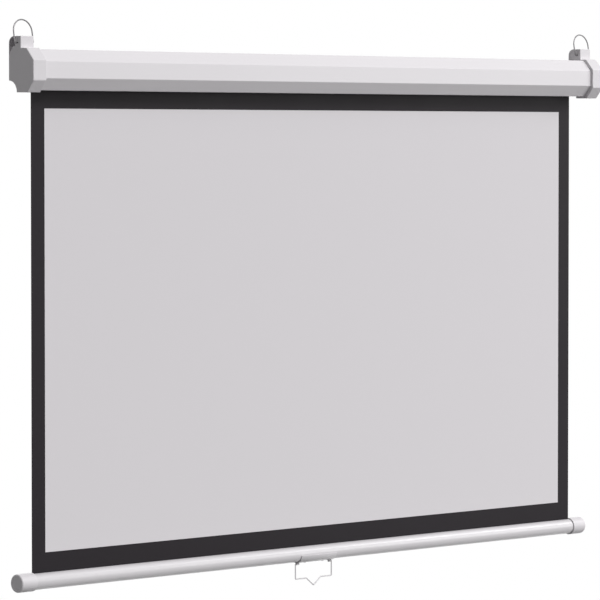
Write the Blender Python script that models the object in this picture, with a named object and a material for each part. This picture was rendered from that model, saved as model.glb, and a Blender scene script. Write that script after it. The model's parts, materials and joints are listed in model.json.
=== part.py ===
"""Pull-down projector screen: a hexagonal case with a spring roller, bordered fabric and a weight bar.

Metres, +Z up. X runs along the screen, -Y is the front. The pieces are drawn from the back face of the
case, half way along it and level with the roller's axis. At the end all of them are moved so that the
origin is half way between the tops of the two wire hangers, from which the real screen hangs.
"""

import math

import bmesh
import bpy
from mathutils import Matrix, Vector

# Fabric
VIEW_WIDTH = 1.4382
VIEW_HEIGHT = 0.809
TOP_BORDER = 0.0695  # black above the white area, measured from the roller's axis
SIDE_BORDER = 0.0331
BOTTOM_BORDER = 0.0369
FABRIC_THICKNESS = 0.0005
FABRIC_Y = -0.0065  # the plane in which the fabric hangs

# Clearance between pieces that touch, and how far a cutter runs past the face that it cuts
GAP = 0.0003
OVERRUN = 0.002

# Case section
CASE_DEPTH = 0.056
CASE_HALF_HEIGHT = 0.037
CASE_TOP_DEPTH = 0.0372
CASE_BOTTOM_DEPTH = 0.039
CASE_FRONT_HALF = 0.0155
CASE_WALL = 0.0015
RECESS_Y = 0.005
RECESS_Z = -0.0405
CASE_RECESS_RADIUS = 0.0223
SLOT_HALF = 0.004
SLOT_LIP = 0.003

# End caps
END_ROOM = 0.043  # from the fabric's edge to the cap's outer face
CAP_LENGTH = 0.032
CAP_WALL = 0.004
CAP_BACK = 0.005
CAP_PROUD_FRONT = 0.0055
CAP_PROUD_TOP = 0.0022
CAP_PROUD_BOTTOM = 0.004
CAP_RECESS_RADIUS = 0.0208
CAP_EDGE = 0.0012
SPIGOT_WALL = 0.002
SPIGOT_LENGTH = 0.015
EAR_TOP = 0.0609
EAR_DEPTH = 0.0325
EAR_ROUND = 0.013
POCKET_RIM = 0.0018  # left round the hollow in the ear's outer side, at its back and top
POCKET_FRONT = -0.0128
POCKET_FOOT = 0.0425  # of the deep part
POCKET_FRONT_FOOT = 0.0385  # of the slope below it
POCKET_BACK_FOOT = 0.026
POCKET_SLOPE = 0.3
POCKET_DEPTH = 0.014
CORE_DEPTH = 0.009
CORE_RIB = 0.0025  # left beside and below the hollow in the ear's back

# Wire hangers
HANGER_WIRE = 0.0025
HANGER_PIVOT_Y = -0.019
HANGER_PIVOT_Z = 0.0485
HANGER_STAND_OFF = 0.0065  # from the ear's side to the middle of the wire
HANGER_TOP = 0.0912
HANGER_SHOULDER = 0.0685
HANGER_GRIP = 0.006  # how far each end reaches into the ear
HANGER_BEND = 0.0026
HANGER_LEAN = math.radians(9.5)  # both lean back towards their hooks, as in the photograph

# Roller
ROLLER_RADIUS = 0.0185
ROLLER_WALL = 0.001
ROLLER_TURNS = 7  # from fully down to fully up
HEAD_FLANGE = 0.002
HEAD_PLUG = 0.020
PLUG_LEAD = 0.002  # length of the taper at a plug's inner end
PLUG_TAPER = 0.0014
SPINDLE_RADIUS = 0.004
SPINDLE_LENGTH = 0.226
TANG_THICKNESS = 0.003
TANG_HEIGHT = 0.0072
TANG_LENGTH = 0.006
ANCHOR_RADIUS = 0.0095
ANCHOR_NECK = 0.0071
ANCHOR_COLLAR = 0.006
ANCHOR_LENGTH = 0.012
SPRING_RADIUS = 0.009
SPRING_WIRE = 0.0024
SPRING_TURNS = 16
PIN_RADIUS = 0.003
PIN_GRIP = 0.016
BUSH_WALL = 0.002
BUSH_FLANGE = 0.002

# Brackets in the caps
BRACKET_THICKNESS = 0.002
BRACKET_WIDTH = 0.040
BRACKET_HEIGHT = 0.044
BRACKET_CORNER = 0.004
PEG_RADIUS = 0.0022
PEG_REACH = 0.016

# Ratchet and pawls
RATCHET_RADIUS = 0.009
RATCHET_FLOOR = 0.0055
RATCHET_THICKNESS = 0.003
RATCHET_ROOM = 0.0038  # between the wheel and the left bracket, for the heads of the pawl pins
PAWL_LENGTH = 0.011
PAWL_HALF_WIDTH = 0.0015
PAWL_EYE = 0.0027
PAWL_PIN = 0.0012
PAWL_PIN_GRIP = 0.006
PAWL_PIN_HEAD = 0.0022
PAWL_PIN_HEAD_HEIGHT = 0.0008
PAWL_LIFT = math.radians(26.0)
NOTCH_FACES = (90.0, 270.0)  # where the wheel's two radial faces stand, in degrees from +Y towards +Z

# Screws in the back of the caps
SCREW_RADIUS = 0.0015
SCREW_POINT = 0.0009
SCREW_TAPER = 0.002
SCREW_HEAD = 0.0034
SCREW_CROWN = 0.0019  # radius of the flat on top of the head
SCREW_RIM = 0.0009
SCREW_HEAD_HEIGHT = 0.0018
SCREW_LENGTH = 0.010
SCREW_INSET = 0.016  # from the cap's outer face
SCREW_HEIGHTS = (0.026, -0.008)

# Weight bar
BAR_RADIUS = 0.015
BAR_WALL = 0.0015
BAR_CAP_RADIUS = 0.017
BAR_CAP_LENGTH = 0.0375
BAR_CAP_END = 0.003
BAR_CAP_ROUND = 0.0032
BAR_CAP_LEAD = 0.0004
HEM_HEIGHT = 0.0086  # middle of the hem channel above the bar's axis
HEM_CHANNEL = 0.004
HEM_CHANNEL_WALL = 0.0013
HEM_SLOT_HALF = 0.00125
HEM_RADIUS = 0.0034

# Handle and its clip
HANDLE_WIRE = 0.0025
HANDLE_PLACE = -0.0126  # middle of the clip and the handle, which is off the bar's middle
HANDLE_WIDTH = 0.101
HANDLE_DROP = 0.033  # below the bar
HANDLE_V_WIDTH = 0.040
HANDLE_V_DEPTH = 0.015
HANDLE_BEND = 0.0016
HANDLE_GRIP = 0.005
CLIP_WALL = 0.0015
CLIP_REACH = math.radians(84.0)
CLIP_KNUCKLE = 0.007
CLIP_KNUCKLE_WALL = 0.0009
CLIP_KNUCKLE_INSET = 0.0004
RIVET_RADIUS = 0.0014
RIVET_HEAD = 0.0026
RIVET_CROWN = 0.0013
RIVET_RIM = 0.0004
RIVET_HEAD_HEIGHT = 0.0009
RIVET_LENGTH = 0.0034
RIVET_SPREAD = 0.050

# Facets round a full circle
FINE = 32
MEDIUM = 20
COARSE = 12

# Places that follow from the sizes
FABRIC_HALF = VIEW_WIDTH / 2 + SIDE_BORDER
CAP_OUTER = FABRIC_HALF + END_ROOM
CAP_INNER = CAP_OUTER - CAP_LENGTH
CAP_FLOOR = CAP_OUTER - CAP_WALL
CASE_HALF = CAP_FLOOR - GAP
WRAP_INNER = ROLLER_RADIUS + GAP
WRAP_LOW = WRAP_INNER + FABRIC_THICKNESS
LEAVING_RADIUS = WRAP_LOW + GAP + FABRIC_THICKNESS / 2
WRAP_HIGH = LEAVING_RADIUS + FABRIC_THICKNESS / 2
ROLLER_Y = FABRIC_Y - LEAVING_RADIUS
TRAVEL = ROLLER_TURNS * 2 * math.pi * LEAVING_RADIUS
BRACKET_OUT = CAP_FLOOR - GAP
BRACKET_IN = BRACKET_OUT - BRACKET_THICKNESS
RATCHET_OUT = BRACKET_IN - RATCHET_ROOM
RATCHET_IN = RATCHET_OUT - RATCHET_THICKNESS
FLANGE_OUT = RATCHET_IN - GAP
FLANGE_IN = FLANGE_OUT - HEAD_FLANGE
TUBE_HALF = FLANGE_IN - GAP
PLUG_IN = FLANGE_IN - HEAD_PLUG
SPINDLE_END = BRACKET_IN - GAP
SPINDLE_FAR = SPINDLE_END - SPINDLE_LENGTH
ANCHOR_OUT = SPINDLE_FAR + ANCHOR_LENGTH
BAR_TOP = -(TOP_BORDER + VIEW_HEIGHT + BOTTOM_BORDER)
BAR_Z = BAR_TOP - BAR_RADIUS
BAR_CAP_IN = FABRIC_HALF + GAP
BAR_CAP_OUT = BAR_CAP_IN + BAR_CAP_LENGTH
BAR_HALF = BAR_CAP_OUT - BAR_CAP_END - GAP
HEM_Z = BAR_Z + HEM_HEIGHT + HEM_CHANNEL - HEM_RADIUS - GAP
HANDLE_HOLE = HANDLE_WIRE / 2 + GAP
KNUCKLE_RADIUS = HANDLE_HOLE + CLIP_KNUCKLE_WALL
HANDLE_PIVOT_Z = BAR_Z - BAR_RADIUS - GAP - CLIP_WALL / 2 - KNUCKLE_RADIUS
CLIP_HALF = HANDLE_WIDTH / 2 - HANDLE_BEND


def clear_scene():
    for thing in list(bpy.data.objects):
        bpy.data.objects.remove(thing, do_unlink=True)


def finish(name, colour, roughness, metallic=0.0):
    """A Principled material in the piece's own colour."""
    material = bpy.data.materials.new(name)
    material.use_nodes = True
    shader = material.node_tree.nodes["Principled BSDF"]
    shader.inputs["Base Color"].default_value = (*colour, 1.0)
    shader.inputs["Roughness"].default_value = roughness
    shader.inputs["Metallic"].default_value = metallic
    material.diffuse_color = (*colour, 1.0)
    return material


def add_object(name, mesh, look, origin=(0.0, 0.0, 0.0)):
    """Links a mesh whose points are in world space, with its origin moved to the place given."""
    mesh.transform(Matrix.Translation(-Vector(origin)))
    mesh.materials.append(finish(name, *look))
    mesh.shade_smooth()
    mesh.set_sharp_from_angle(angle=math.radians(35.0))
    thing = bpy.data.objects.new(name, mesh)
    thing.location = origin
    bpy.context.scene.collection.objects.link(thing)
    return thing


def mesh_of(bm, name):
    bmesh.ops.recalc_face_normals(bm, faces=bm.faces)
    mesh = bpy.data.meshes.new(name)
    bm.to_mesh(mesh)
    bm.free()
    return mesh


def arc(centre, radius, start, end, steps):
    """Points on a circle in the Y-Z plane, from one angle to another, in degrees from +Y towards +Z."""
    points = []
    for step in range(steps + 1):
        angle = math.radians(start + (end - start) * step / steps)
        points.append((centre[0] + radius * math.cos(angle), centre[1] + radius * math.sin(angle)))
    return points


def circle(centre, radius, segments):
    return arc(centre, radius, 0.0, 360.0, segments)[:-1]


def offset(points, distance, closed=True):
    """The same outline moved sideways, to the left of its direction, with mitred corners."""
    count = len(points)
    moved = []
    for index in range(count):
        here = Vector(points[index])
        before = Vector(points[index - 1]) if closed or index > 0 else None
        after = Vector(points[(index + 1) % count]) if closed or index < count - 1 else None
        ways = []
        if before is not None:
            ways.append((here - before).normalized())
        if after is not None:
            ways.append((after - here).normalized())
        sides = [Vector((-way.y, way.x)) for way in ways]
        bisector = sum(sides, Vector((0.0, 0.0))).normalized()
        reach = distance / max(bisector.dot(sides[0]), 0.2)
        moved.append(tuple(here + bisector * reach))
    return moved


def prism(outline, x_low, x_high, holes=()):
    """A bmesh of a Y-Z section, with any holes, drawn out along X."""
    bm = bmesh.new()
    for loop in (outline, *holes):
        corners = [bm.verts.new((x_low, y, z)) for y, z in loop]
        for index, corner in enumerate(corners):
            bm.edges.new((corner, corners[(index + 1) % len(corners)]))
    if holes:
        bmesh.ops.triangle_fill(bm, use_beauty=True, use_dissolve=False, edges=bm.edges)
    else:
        bmesh.ops.contextual_create(bm, geom=bm.edges)
    drawn = bmesh.ops.extrude_face_region(bm, geom=bm.faces, use_keep_orig=True)
    new_corners = [item for item in drawn["geom"] if isinstance(item, bmesh.types.BMVert)]
    bmesh.ops.translate(bm, verts=new_corners, vec=(x_high - x_low, 0.0, 0.0))
    return bm


def strip(outer, inner, x_low, x_high):
    """A bmesh of an open wall between two paths of equal length, drawn out along X."""
    bm = bmesh.new()
    first = [bm.verts.new((x_low, y, z)) for y, z in outer]
    second = [bm.verts.new((x_low, y, z)) for y, z in inner]
    for index in range(len(first) - 1):
        bm.faces.new((first[index], first[index + 1], second[index + 1], second[index]))
    drawn = bmesh.ops.extrude_face_region(bm, geom=bm.faces, use_keep_orig=True)
    new_corners = [item for item in drawn["geom"] if isinstance(item, bmesh.types.BMVert)]
    bmesh.ops.translate(bm, verts=new_corners, vec=(x_high - x_low, 0.0, 0.0))
    return bm


def turned(profile, centre, segments, along="X"):
    """A bmesh of a closed (distance along, radius) profile turned about an axis through the centre."""
    bm = bmesh.new()
    corners = [bm.verts.new((reach, radius, 0.0)) for reach, radius in profile]
    edges = []
    for index, corner in enumerate(corners):
        following = corners[(index + 1) % len(corners)]
        if corner.co.y > 0 or following.co.y > 0:
            edges.append(bm.edges.new((corner, following)))
    bmesh.ops.spin(bm, geom=corners + edges, cent=(0.0, 0.0, 0.0), axis=(1.0, 0.0, 0.0), dvec=(0.0, 0.0, 0.0),
                   angle=2 * math.pi, steps=segments, use_merge=True)
    bmesh.ops.remove_doubles(bm, verts=bm.verts, dist=1e-6)
    if along == "Y":
        bmesh.ops.rotate(bm, verts=bm.verts, matrix=Matrix.Rotation(math.pi / 2, 3, "Z"))
    if along == "Z":
        bmesh.ops.rotate(bm, verts=bm.verts, matrix=Matrix.Rotation(-math.pi / 2, 3, "Y"))
    bmesh.ops.translate(bm, verts=bm.verts, vec=centre)
    return bm


def mirrored(bm, side):
    """The same shape at the other end of the screen when the side is -1."""
    if side < 0:
        bmesh.ops.scale(bm, vec=(-1.0, 1.0, 1.0), verts=bm.verts)
    return bm


def tool(name, bm):
    """A helper for a Boolean, which is left out of renders."""
    mesh = mesh_of(bm, name)
    thing = bpy.data.objects.new(name, mesh)
    thing.hide_render = True
    thing.display_type = "WIRE"
    bpy.context.scene.collection.objects.link(thing)
    return thing


def combine(thing, operation, bm):
    """Adds an exact Boolean with a hidden helper."""
    helper = tool(thing.name + "_" + operation.lower() + "_" + str(len(thing.modifiers)), bm)
    modifier = thing.modifiers.new(helper.name, "BOOLEAN")
    modifier.operation = operation
    modifier.solver = "EXACT"
    modifier.object = helper


def wire(name, points, radius, look, origin=(0.0, 0.0, 0.0), sides=8):
    """A round wire along a path, as a filled curve."""
    data = bpy.data.curves.new(name, "CURVE")
    data.dimensions = "3D"
    data.bevel_depth = radius
    data.bevel_resolution = sides // 2 - 2
    data.use_fill_caps = True
    spline = data.splines.new("POLY")
    spline.points.add(len(points) - 1)
    for point, place in zip(spline.points, points):
        point.co = (*(Vector(place) - Vector(origin)), 1.0)
    data.materials.append(finish(name, *look))
    thing = bpy.data.objects.new(name, data)
    thing.location = origin
    bpy.context.scene.collection.objects.link(thing)
    return thing


def rounded_path(corners, radius, steps=4):
    """A path with each inner corner turned into an arc."""
    points = [Vector(corners[0])]
    for before, here, after in zip(corners, corners[1:], corners[2:]):
        here = Vector(here)
        back = (Vector(before) - here).normalized()
        ahead = (Vector(after) - here).normalized()
        half = back.angle(ahead) / 2
        inset = radius / math.tan(half)
        centre = here + (back + ahead).normalized() * (radius / math.sin(half))
        first = here + back * inset - centre
        last = here + ahead * inset - centre
        turn = first.angle(last)
        for step in range(steps + 1):
            share = step / steps
            blend = first * math.sin(turn * (1 - share)) + last * math.sin(turn * share)
            points.append(centre + blend / math.sin(turn))
    points.append(Vector(corners[-1]))
    return points


# Looks: colour, roughness, metallic
WHITE_PAINT = ((0.80, 0.79, 0.80), 0.38)
WHITE_PLASTIC = ((0.80, 0.79, 0.80), 0.45)
BAR_PAINT = ((0.80, 0.79, 0.81), 0.32)
SHEET_WHITE = ((0.62, 0.60, 0.62), 0.85)
SHEET_BLACK = ((0.03, 0.03, 0.03), 0.85)
STEEL = ((0.55, 0.55, 0.56), 0.35, 1.0)
SPRING_STEEL = ((0.30, 0.30, 0.31), 0.40, 1.0)
NYLON = ((0.75, 0.74, 0.70), 0.50)
BLACK_PLASTIC = ((0.05, 0.05, 0.05), 0.50)


def case_front():
    """The case's outer corners from the bottom of its front round to the top of its back."""
    return [
        (-CASE_BOTTOM_DEPTH, -CASE_HALF_HEIGHT),
        (-CASE_DEPTH, -CASE_FRONT_HALF),
        (-CASE_DEPTH, CASE_FRONT_HALF),
        (-CASE_TOP_DEPTH, CASE_HALF_HEIGHT),
        (0.0, CASE_HALF_HEIGHT),
    ]


def recess_angle(radius, y=None, z=None):
    """Angle on a recess arc, in degrees, at a depth y or a height z."""
    if y is not None:
        return math.degrees(math.acos((y - RECESS_Y) / radius))
    return 180.0 - math.degrees(math.asin((z - RECESS_Z) / radius))


def case_outline():
    """The case's closed outer outline, clockwise seen from the right, with the slot left out."""
    radius = CASE_RECESS_RADIUS
    low = recess_angle(radius, z=-CASE_HALF_HEIGHT)
    high = recess_angle(radius, y=0.0)
    return case_front() + arc((RECESS_Y, RECESS_Z), radius, high, low, 8)


def case_shell():
    """One folded wall: the lips beside the slot, the recess, and the five flats."""
    radius = CASE_RECESS_RADIUS
    centre = (RECESS_Y, RECESS_Z)
    low = recess_angle(radius, z=-CASE_HALF_HEIGHT)
    high = recess_angle(radius, y=0.0)
    front_edge = recess_angle(radius, y=FABRIC_Y - SLOT_HALF)
    back_edge = recess_angle(radius, y=FABRIC_Y + SLOT_HALF)
    path = arc(centre, radius + SLOT_LIP, front_edge, front_edge + 1.0, 1)[:1]
    path += arc(centre, radius, front_edge, low, 6)
    path += case_front()
    path += arc(centre, radius, high, back_edge, 2)
    path += arc(centre, radius + SLOT_LIP, back_edge, back_edge + 1.0, 1)[:1]
    wall = offset(path, -CASE_WALL, closed=False)
    case = add_object("case_shell", mesh_of(strip(path, wall, -CASE_HALF, CASE_HALF), "case_shell"), WHITE_PAINT)
    for side in (-1, 1):
        for height in SCREW_HEIGHTS:
            combine(case, "DIFFERENCE", mirrored(screw_hole(height), side))


def screw_hole(height):
    """A clearance hole for one screw, through the back of the cap, the case and the spigot."""
    reach = SCREW_RADIUS + GAP
    depth = SCREW_LENGTH + GAP
    profile = [(-depth, 0.0), (-depth, reach), (OVERRUN, reach), (OVERRUN, 0.0)]
    return turned(profile, (CAP_OUTER - SCREW_INSET, CAP_BACK - SCREW_HEAD_HEIGHT - GAP, height), COARSE, "Y")


def cap_outline():
    """The end cap's outer outline with its ear, clockwise seen from the right."""
    low, front_low, front_high, top, _ = case_front()
    bottom_z = low[1] - CAP_PROUD_BOTTOM
    top_z = top[1] + CAP_PROUD_TOP
    ear_front = CAP_BACK - EAR_DEPTH
    radius = CAP_RECESS_RADIUS
    lip = recess_angle(radius, z=bottom_z)
    back = recess_angle(radius, y=CAP_BACK)
    outline = [
        (low[0] - CAP_PROUD_FRONT, bottom_z),
        (front_low[0] - CAP_PROUD_FRONT, front_low[1] - CAP_PROUD_BOTTOM),
        (front_high[0] - CAP_PROUD_FRONT, front_high[1] + CAP_PROUD_TOP),
        (top[0] - CAP_PROUD_FRONT, top_z),
        (ear_front, top_z),
        (ear_front, EAR_TOP),
    ]
    outline += arc((CAP_BACK - EAR_ROUND, EAR_TOP - EAR_ROUND), EAR_ROUND, 90.0, 0.0, 6)
    outline += arc((RECESS_Y, RECESS_Z), radius, back, lip, 8)
    return outline


def end_cap(name, side):
    """A moulded cap: outer skirt over the case, spigot inside it, ear with hanger holes and hollows."""
    cap = add_object(name, mesh_of(mirrored(prism(cap_outline(), CAP_INNER, CAP_OUTER), side), name), WHITE_PLASTIC)
    edges = cap.modifiers.new("edges", "BEVEL")
    edges.width = CAP_EDGE
    edges.segments = 2
    edges.limit_method = "ANGLE"
    edges.angle_limit = math.radians(30.0)
    cavity = offset(case_outline(), GAP)
    combine(cap, "DIFFERENCE", mirrored(prism(cavity, CAP_INNER - OVERRUN, CAP_FLOOR), side))
    spigot_out = offset(spigot_path(), -(CASE_WALL + GAP), closed=False)
    spigot_in = offset(spigot_path(), -(CASE_WALL + GAP + SPIGOT_WALL), closed=False)
    spigot = strip(spigot_out, spigot_in, CAP_FLOOR - SPIGOT_LENGTH, CAP_FLOOR + CAP_WALL / 2)
    combine(cap, "UNION", mirrored(spigot, side))
    for peg in peg_places():
        body = prism(circle(peg, PEG_RADIUS, COARSE), BRACKET_IN - GAP, CAP_FLOOR + CAP_WALL / 2)
        combine(cap, "UNION", mirrored(body, side))
    hole = circle((HANGER_PIVOT_Y, HANGER_PIVOT_Z), HANGER_WIRE / 2 + GAP, COARSE)
    depth = HANGER_GRIP + GAP
    for low, high in ((CAP_OUTER - depth, CAP_OUTER + OVERRUN), (CAP_INNER - OVERRUN, CAP_INNER + depth)):
        combine(cap, "DIFFERENCE", mirrored(prism(hole, low, high), side))
    pocket = prism(pocket_outline(), CAP_OUTER - POCKET_DEPTH, CAP_OUTER + OVERRUN)
    combine(cap, "DIFFERENCE", mirrored(pocket, side))
    combine(cap, "DIFFERENCE", mirrored(pocket_slope(), side))
    core = prism(core_outline(), CAP_INNER + CORE_RIB, CAP_OUTER - POCKET_DEPTH - CORE_RIB)
    combine(cap, "DIFFERENCE", mirrored(core, side))
    for height in SCREW_HEIGHTS:
        combine(cap, "DIFFERENCE", mirrored(screw_hole(height), side))
        combine(cap, "DIFFERENCE", mirrored(head_hole(height), side))


def spigot_path():
    """The case's outline from beside the front lip round to beside the back lip."""
    radius = CASE_RECESS_RADIUS
    low = recess_angle(radius, z=-CASE_HALF_HEIGHT)
    beside_lip = math.degrees((CASE_WALL + SPIGOT_WALL) / radius)
    start = recess_angle(radius, y=FABRIC_Y - SLOT_HALF) + beside_lip
    end = arc((RECESS_Y, RECESS_Z), radius, recess_angle(radius, y=0.0), 0.0, 1)[0]
    above_lip = SLOT_LIP + CASE_WALL + GAP
    return arc((RECESS_Y, RECESS_Z), radius, start, low, 5) + case_front() + [(0.0, end[1] + above_lip)]


def pocket_outline():
    """The hollow behind the hanger's hole in the ear's outer side, which follows the ear's back and top."""
    outline = [(POCKET_FRONT, POCKET_FOOT), (POCKET_FRONT, EAR_TOP - POCKET_RIM)]
    outline += arc((CAP_BACK - EAR_ROUND, EAR_TOP - EAR_ROUND), EAR_ROUND - POCKET_RIM, 90.0, 0.0, 6)
    outline.append((CAP_BACK - POCKET_RIM, POCKET_FOOT))
    return outline


def pocket_slope():
    """The slope under the hollow, which runs out on the cap's outer side lower at the back than in front."""
    back = CAP_BACK - POCKET_RIM
    top = POCKET_FOOT + OVERRUN
    outline = [(POCKET_FRONT, POCKET_FRONT_FOOT - OVERRUN), (POCKET_FRONT, top)]
    outline += [(back, top), (back, POCKET_BACK_FOOT - OVERRUN)]
    slope = prism(outline, CAP_OUTER, CAP_OUTER + OVERRUN)
    for corner in slope.verts:
        if corner.co.x < CAP_OUTER + OVERRUN / 2:
            share = (corner.co.y - POCKET_FRONT) / (back - POCKET_FRONT)
            foot = POCKET_FRONT_FOOT + (POCKET_BACK_FOOT - POCKET_FRONT_FOOT) * share
            corner.co.x -= POCKET_SLOPE * (corner.co.z - foot)
    return slope


def core_outline():
    """A hollow in the back of the ear that keeps its walls thin, from above the case to the ear's curve."""
    low = CASE_HALF_HEIGHT + GAP + CORE_RIB
    high = EAR_TOP - EAR_ROUND
    return [
        (CAP_BACK + OVERRUN, low),
        (CAP_BACK + OVERRUN, high),
        (CAP_BACK - CORE_DEPTH, high),
        (CAP_BACK - CORE_DEPTH, low),
    ]


def peg_places():
    """The two pegs that hold a bracket, above and below the roller's axis."""
    return [(ROLLER_Y, PEG_REACH), (ROLLER_Y, -PEG_REACH)]


def head_hole(height):
    """A counterbore for one screw's head in the back of the cap."""
    reach = SCREW_HEAD + GAP
    start = -SCREW_HEAD_HEIGHT - GAP
    profile = [(start, 0.0), (start, reach), (OVERRUN, reach), (OVERRUN, 0.0)]
    return turned(profile, (CAP_OUTER - SCREW_INSET, CAP_BACK, height), COARSE, "Y")


def cap_screw(name, side, height):
    """A pan-head screw, head towards the wall."""
    profile = [
        (-SCREW_LENGTH, 0.0),
        (-SCREW_LENGTH, SCREW_POINT),
        (-SCREW_LENGTH + SCREW_TAPER, SCREW_RADIUS),
        (0.0, SCREW_RADIUS),
        (0.0, SCREW_HEAD),
        (SCREW_RIM, SCREW_HEAD),
        (SCREW_HEAD_HEIGHT, SCREW_CROWN),
        (SCREW_HEAD_HEIGHT, 0.0),
    ]
    place = (CAP_OUTER - SCREW_INSET, CAP_BACK - SCREW_HEAD_HEIGHT, height)
    add_object(name, mesh_of(mirrored(turned(profile, place, COARSE, "Y"), side), name), STEEL)


def rounded_plate(centre, width, height, corner):
    """A rectangle with round corners in the Y-Z plane."""
    points = []
    for sign_y, sign_z, start in ((1, 1, 0.0), (-1, 1, 90.0), (-1, -1, 180.0), (1, -1, 270.0)):
        place = (centre[0] + sign_y * (width / 2 - corner), centre[1] + sign_z * (height / 2 - corner))
        points += arc(place, corner, start, start + 90.0, 3)
    return points


def bracket(name, side, opening):
    """A steel plate on the cap's pegs that carries one end of the roller."""
    plate = rounded_plate((ROLLER_Y, 0.0), BRACKET_WIDTH, BRACKET_HEIGHT, BRACKET_CORNER)
    holes = [opening]
    holes += [circle(peg, PEG_RADIUS + GAP, COARSE) for peg in peg_places()]
    add_object(name, mesh_of(mirrored(prism(plate, BRACKET_IN, BRACKET_OUT, holes), side), name), STEEL)


def tang_outline(clearance):
    half_y = TANG_THICKNESS / 2 + clearance
    half_z = TANG_HEIGHT / 2 + clearance
    return [
        (ROLLER_Y - half_y, -half_z),
        (ROLLER_Y + half_y, -half_z),
        (ROLLER_Y + half_y, half_z),
        (ROLLER_Y - half_y, half_z),
    ]


def roller_axis():
    return (ROLLER_Y, 0.0)


def spring_spindle():
    """The still rod: its flat tang stands in the left bracket and the rest runs inside the spring."""
    rod = prism(circle(roller_axis(), SPINDLE_RADIUS, MEDIUM), SPINDLE_FAR, SPINDLE_END)
    spindle = add_object("spring_spindle", mesh_of(mirrored(rod, -1), "spring_spindle"), STEEL)
    tang = prism(tang_outline(0.0), SPINDLE_END - TANG_LENGTH, BRACKET_OUT)
    combine(spindle, "UNION", mirrored(tang, -1))


def ratchet_outline():
    """A round wheel with two notches, each a flat floor that ends in a radial face."""
    points = []
    floor_reach = math.sqrt(RATCHET_RADIUS**2 - RATCHET_FLOOR**2)
    floor_angle = math.degrees(math.atan2(floor_reach, RATCHET_FLOOR))
    for face in NOTCH_FACES:
        radial = math.radians(face)
        floor = (
            ROLLER_Y + RATCHET_FLOOR * math.cos(radial),
            RATCHET_FLOOR * math.sin(radial),
        )
        points.append(floor)
        points += arc(roller_axis(), RATCHET_RADIUS, face, face + 180.0 - floor_angle, 7)
    return points


def ratchet_wheel():
    bore = circle(roller_axis(), SPINDLE_RADIUS + GAP, MEDIUM)
    wheel = prism(ratchet_outline(), RATCHET_IN, RATCHET_OUT, [bore])
    add_object("ratchet_wheel", mesh_of(mirrored(wheel, -1), "ratchet_wheel"), STEEL)


def spring_anchor():
    """The collar at the far end of the spindle that holds the spring's still end."""
    profile = [
        (SPINDLE_FAR, SPINDLE_RADIUS + GAP),
        (SPINDLE_FAR, ANCHOR_NECK),
        (ANCHOR_OUT - ANCHOR_COLLAR, ANCHOR_NECK),
        (ANCHOR_OUT - ANCHOR_COLLAR, ANCHOR_RADIUS),
        (ANCHOR_OUT, ANCHOR_RADIUS),
        (ANCHOR_OUT, SPINDLE_RADIUS + GAP),
    ]
    collar = turned(profile, (0.0, ROLLER_Y, 0.0), MEDIUM)
    add_object("spring_anchor", mesh_of(mirrored(collar, -1), "spring_anchor"), NYLON)


def idler_bush():
    """A flanged nylon bush in the right bracket."""
    bore = PIN_RADIUS + GAP
    outer = bore + BUSH_WALL
    profile = [
        (BRACKET_IN - GAP - BUSH_FLANGE, bore),
        (BRACKET_IN - GAP - BUSH_FLANGE, outer + BUSH_FLANGE),
        (BRACKET_IN - GAP, outer + BUSH_FLANGE),
        (BRACKET_IN - GAP, outer),
        (BRACKET_OUT, outer),
        (BRACKET_OUT, bore),
    ]
    add_object("idler_bush", mesh_of(turned(profile, (0.0, ROLLER_Y, 0.0), MEDIUM), "idler_bush"), NYLON)


def roller_tube():
    outer = circle(roller_axis(), ROLLER_RADIUS, FINE)
    inner = circle(roller_axis(), ROLLER_RADIUS - ROLLER_WALL, FINE)
    tube = prism(outer, -TUBE_HALF, TUBE_HALF, [inner])
    add_object("roller_tube", mesh_of(tube, "roller_tube"), STEEL, (0.0, ROLLER_Y, 0.0))


def roller_plug(name, side, bore, grip=None):
    """A plug in the tube's end with a flange outside it, bored right through or as deep as a grip."""
    plug = ROLLER_RADIUS - ROLLER_WALL - GAP
    floor = PLUG_IN if grip is None else FLANGE_OUT - grip
    profile = [
        (PLUG_IN, plug - PLUG_TAPER),
        (PLUG_IN + PLUG_LEAD, plug),
        (FLANGE_IN, plug),
        (FLANGE_IN, ROLLER_RADIUS),
        (FLANGE_OUT, ROLLER_RADIUS),
        (FLANGE_OUT, bore),
        (floor, bore),
    ]
    if grip is not None:
        profile += [(floor, 0.0), (PLUG_IN, 0.0)]
    body = mirrored(turned(profile, (0.0, ROLLER_Y, 0.0), FINE), side)
    return add_object(name, mesh_of(body, name), BLACK_PLASTIC, (0.0, ROLLER_Y, 0.0))


def roller_head():
    """The left plug, which turns on the spindle and carries the two pawls on pins."""
    head = roller_plug("roller_head", -1, SPINDLE_RADIUS + GAP)
    for face in NOTCH_FACES:
        pivot = pawl_frame(face)[2]
        seat = circle(tuple(pivot), PAWL_PIN + GAP, COARSE)
        combine(head, "DIFFERENCE", prism(seat, -FLANGE_OUT - OVERRUN, -FLANGE_OUT + PAWL_PIN_GRIP + GAP))


def idler_pin():
    """The fixed pin in the right plug that turns in the bush."""
    low = FLANGE_OUT - PIN_GRIP + GAP
    pin = prism(circle(roller_axis(), PIN_RADIUS, MEDIUM), low, BRACKET_OUT)
    add_object("idler_pin", mesh_of(pin, "idler_pin"), STEEL, (0.0, ROLLER_Y, 0.0))


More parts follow.
